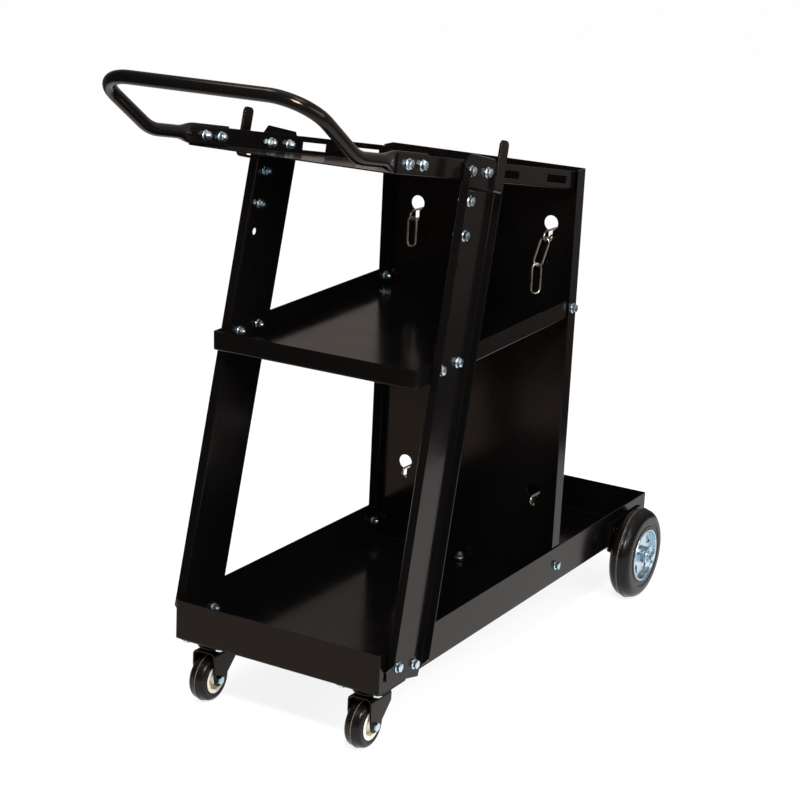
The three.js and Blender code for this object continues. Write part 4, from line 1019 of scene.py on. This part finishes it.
# %% Cut the axle brackets
bracket_plate, bracket_x, bracket_top = 3, 150.3, 122.5
bracket_half, bracket_waist, bracket_eye = 53, 80, 14
rivet_spread, rivet_z, rivet_inside = 38, 108, 148.3
rivet_head = [(0, 2.6), (2.6, 2.4), (5, 1.6), (6.6, 0.5), (7, 0), (7, -0.4), (0, -0.4)]
front, rear = (axle.y - bracket_half, bracket_waist), (axle.y + bracket_half, bracket_waist)
bracket_points = hanger(bracket_top, front, rear, (axle.y, axle.z), bracket_eye)
for side in sides:
    bm = bmesh.new()
    edges = outline(bm, [(bracket_x, y, z) for y, z in bracket_points])
    face = bmesh.ops.edgeloop_fill(bm, edges=edges)["faces"]
    plate = bmesh.ops.extrude_face_region(bm, geom=face, use_keep_orig=True)["geom"]
    bmesh.ops.translate(bm, vec=right * bracket_plate, verts=only(BMVert, plate))
    bmesh.ops.recalc_face_normals(bm, faces=bm.faces)
    for y in (axle.y - rivet_spread, axle.y + rivet_spread):
        for x, heading in ((bracket_x + bracket_plate, to_right), (rivet_inside, to_left)):
            turned(bm, rivet_head, steps=28, place=placed((x, y, rivet_z), heading))
    hand_over(side + "_axle_bracket", mirrored(bm, side), powder_coat, edge=0.4)
print("bracket thickness in mm:", bracket_plate)

# %% [markdown]
# ## A chain link
# The bottle chains are long welded links. A link is a closed tube along two half circles, placed
# between the two points where it touches its neighbours, so a chain is only a row of such points.

# %% Bend a link
wire, link_half_width, link_play, link_steps = 1.5, 8, 0.2, 10


def link(bm, start, end, wide):
    along = (end - start).normalized()
    across = (wide - along * wide.dot(along)).normalized()
    middle = (start + end) / 2
    straight = ((end - start).length + 4 * wire - link_play) / 2 - link_half_width
    facing = along.cross(across)
    rings = []
    for way in (1, -1):
        for step in range(link_steps + 1):
            angle = math.pi * (step / link_steps - 0.5) + (0 if way > 0 else math.pi)
            out = along * math.cos(angle) + across * math.sin(angle)
            forward = across * math.cos(angle) - along * math.sin(angle)
            centre = middle + along * way * straight + out * (link_half_width - wire)
            rings.append(ring_across(centre, forward, facing, wire, wire))
    tube(bm, rings, sides=10, closed=True)


print("wire diameter in mm:", 2 * wire)

# %% [markdown]
# ## The line of a hanging chain
# A chain sags between its two keyholes in a curve very near a parabola. The links are all alike, so
# the points where they meet have to be equally far apart along that curve. The curve is measured in
# short steps, and the points are set at equal shares of its length.

# %% Measure a hanging chain
def hanging_points(sag, count):
    steps = 200
    shares = [step / steps for step in range(steps + 1)]
    curve = [Vector((keyhole_x * (2 * share - 1), 0, -4 * sag * share * (1 - share))) for share in shares]
    run = [0]
    for before, after in zip(curve, curve[1:]):
        run.append(run[-1] + (after - before).length)
    spaced = []
    for number in range(count + 1):
        goal = run[-1] * number / count
        place = max(index for index in range(steps + 1) if run[index] <= goal + 1e-6)
        nearer = min(place + 1, steps)
        share = (goal - run[place]) / max(run[nearer] - run[place], 1e-9)
        spaced.append(curve[place].lerp(curve[nearer], share))
    return spaced, run[-1] / count


upper_sag, upper_links, lower_sag, lower_links = 128, 9, 76, 7
print("link pitch of the upper chain in mm:", round(hanging_points(upper_sag, upper_links)[1], 1))

# %% [markdown]
# ## Bottle chains
# A chain hangs behind the panel at each height, and holds the gas bottle. At each end one link lies
# through a keyhole slot. The links between are turned a quarter about the chain, one against the next.

# %% Hang the chains
lower_set_back = 12.5


def hang_chain(node, keyhole_z, links, sag, set_back):
    seat = keyhole_z - slot_end - slot_half + clearance + 2 * wire
    points, pitch = hanging_points(sag, links)
    slot_y = panel_high.y + set_back
    hang_y = slot_y + pitch / 2 + 2 * wire - link_half_width
    points = [point + Vector((0, hang_y, seat)) for point in points]
    bm = bmesh.new()
    for number, (start, end) in enumerate(zip(points, points[1:])):
        link(bm, start, end, behind if number % 2 else behind.cross(end - start))
    through = seat - 2 * wire + link_half_width
    for x in (-keyhole_x, keyhole_x):
        link(bm, Vector((x, slot_y - pitch / 2, through)), Vector((x, slot_y + pitch / 2, through)), up)
    hand_over(node, bm, nickel_plate)
    return pitch, seat, 2 * panel_high.y - hang_y


pitch, seat, front_hang = hang_chain("upper_chain", upper_keyhole, upper_links, upper_sag, 0)
hang_chain("lower_chain", lower_keyhole, lower_links, lower_sag, lower_set_back)
print("links behind the panel:", upper_links + lower_links)

# %% [markdown]
# ## Spare chain ends
# The upper chain's spare ends hang in front of the panel from the links in the slots, one link on the
# left and two on the right. The right one leans a little at its first link, and its second link hangs
# straight down and is turned partly round.

# %% Hang the spare ends
end_play, end_drop = 1, up * -pitch
left_top, right_top = (Vector((x, front_hang, seat + end_play)) for x in (-keyhole_x, keyhole_x))
swing, twist = math.radians(16), math.radians(50)
elbow = right_top + Vector((-math.sin(swing), 0, -math.cos(swing))) * pitch
bm = bmesh.new()
link(bm, left_top, left_top + end_drop, right)
hand_over("left_chain_end", bm, nickel_plate)
bm = bmesh.new()
link(bm, right_top, elbow, right)
link(bm, elbow, elbow + end_drop, Vector((math.cos(twist), math.sin(twist), 0)))
hand_over("right_chain_end", bm, nickel_plate)
print("the left end hangs to z =", round(left_top.z - pitch, 1), "mm")

# %% [markdown]
# ## Floor
# The cart stands on a wide pale floor that fills the whole view. Most of its white is its own, seen by
# the camera and by reflections alike, and a diffuse part is added, so that the cart's soft shadow
# stays on it. For other light it is a plain pale surface. The Light Path node tells the two apart.

# %% Lay the floor
def bare_tree(owner):
    owner.use_nodes = True
    owner.node_tree.nodes.clear()
    return owner.node_tree


def seen_rays(tree):
    rays = add(tree, "LightPath", {})
    seen = rays.outputs["Is Camera Ray"]
    for ray in ("Is Glossy Ray", "Is Transmission Ray"):
        seen = add(tree, "Math", {0: seen, 1: rays.outputs[ray]}, operation="MAXIMUM")
    return seen


floor_half = 40
floor_paint = bpy.data.materials.new("pale_floor")
tree = bare_tree(floor_paint)
glow = add(tree, "Emission", {"Color": linear("#ffffff"), "Strength": 0.84})
shadow = add(tree, "BsdfDiffuse", {"Color": [0.25, 0.25, 0.25, 1]})
pale = add(tree, "AddShader", {0: glow, 1: shadow})
plain = add(tree, "BsdfDiffuse", {"Color": linear("#e6e6e6")})
both = add(tree, "MixShader", {0: seen_rays(tree), 1: plain, 2: pale})
add(tree, "OutputMaterial", {"Surface": both})
bm = bmesh.new()
bmesh.ops.create_grid(bm, x_segments=1, y_segments=1, size=floor_half)
floor = new_object("floor", bm, floor_paint)
print("floor side in metres:", 2 * floor_half)

# %% [markdown]
# ## Dark studio cloth
# Black paint shows what it mirrors. The photograph's tall faces are black, so a dim room stood around
# the cart. A ring of dim cloth stands in for it, and only reflections see it. In front it is evenly
# dim, and behind the cart it brightens upwards.

# %% Hang the cloth ring
cloth_radius, cloth_height, cloth_middle = 1.05, 2.6, 1.32
cloth_paint = bpy.data.materials.new("dim_cloth")
tree = bare_tree(cloth_paint)
where = add(tree, "SeparateXYZ", {0: add(tree, "TexCoord", {}).outputs["Object"]})
behind_cart = add(tree, "MapRange", {0: where.outputs["Z"], 1: 0.15, 2: 0.8, 3: 0.08, 4: 0.48})
rearward = add(tree, "MapRange", {0: where.outputs["Y"], 1: -0.4, 2: 0.5, 3: 0.0, 4: 1.0})
dim = add(tree, "Mix", {0: rearward, 2: 0.1, 3: behind_cart}, data_type="FLOAT")
glow = add(tree, "Emission", {"Color": linear("#fff0e8"), "Strength": dim})
add(tree, "OutputMaterial", {"Surface": glow})
bm = bmesh.new()
bmesh.ops.create_cone(bm, segments=96, radius1=cloth_radius, radius2=cloth_radius, depth=cloth_height,
                      matrix=Matrix.Translation(up * cloth_middle))
cloth = new_object("cloth_ring", bm, cloth_paint)
cloth.visible_camera = False
cloth.visible_diffuse = False
cloth.visible_transmission = False
cloth.visible_shadow = False
print("cloth ring radius in metres:", cloth_radius)

# %% [markdown]
# ## Lights
# A white world gives the even fill of a light tent. Two soft boxes hang over the cart, a large one to
# the left and a smaller one to the right, and draw the streaks along the handle. A small lamp near the
# camera gives the sparkle on the bolts and the bent tube. A large card at the right lights the bolts
# and nuts on that side.

# %% Hang the soft boxes and light the world
world = bpy.data.worlds.new("light_tent")
bpy.context.scene.world = world
tree = bare_tree(world)
level = add(tree, "MapRange", {0: seen_rays(tree), 3: 0.6, 4: 1.0})
sky = add(tree, "Background", {"Color": linear("#ffffff"), "Strength": level})
add(tree, "OutputWorld", {"Surface": sky})
cart_middle = Vector((0, 0, 0.4))
lamps = {
    "left_soft_box": ((-0.6, -0.7, 2.1), 0.7, 14),
    "right_soft_box": ((0.75, -0.4, 1.9), 0.45, 7),
    "camera_lamp": ((0.5, -0.85, 1.05), 0.2, 14),
    "right_card": ((1.0, -0.3, 0.7), 0.8, 12)}
for name, (place, size, power) in lamps.items():
    lamp_data = bpy.data.lights.new(name, "AREA")
    lamp_data.shape = "SQUARE"
    lamp_data.size = size
    lamp_data.energy = power
    lamp = bpy.data.objects.new(name, lamp_data)
    aim = cart_middle - Vector(place)
    lamp.matrix_world = Matrix.Translation(place) @ aim.to_track_quat("-Z", "Y").to_matrix().to_4x4()
    lamp.visible_camera = False
    bpy.context.scene.collection.objects.link(lamp)
print("lamps:", list(lamps))
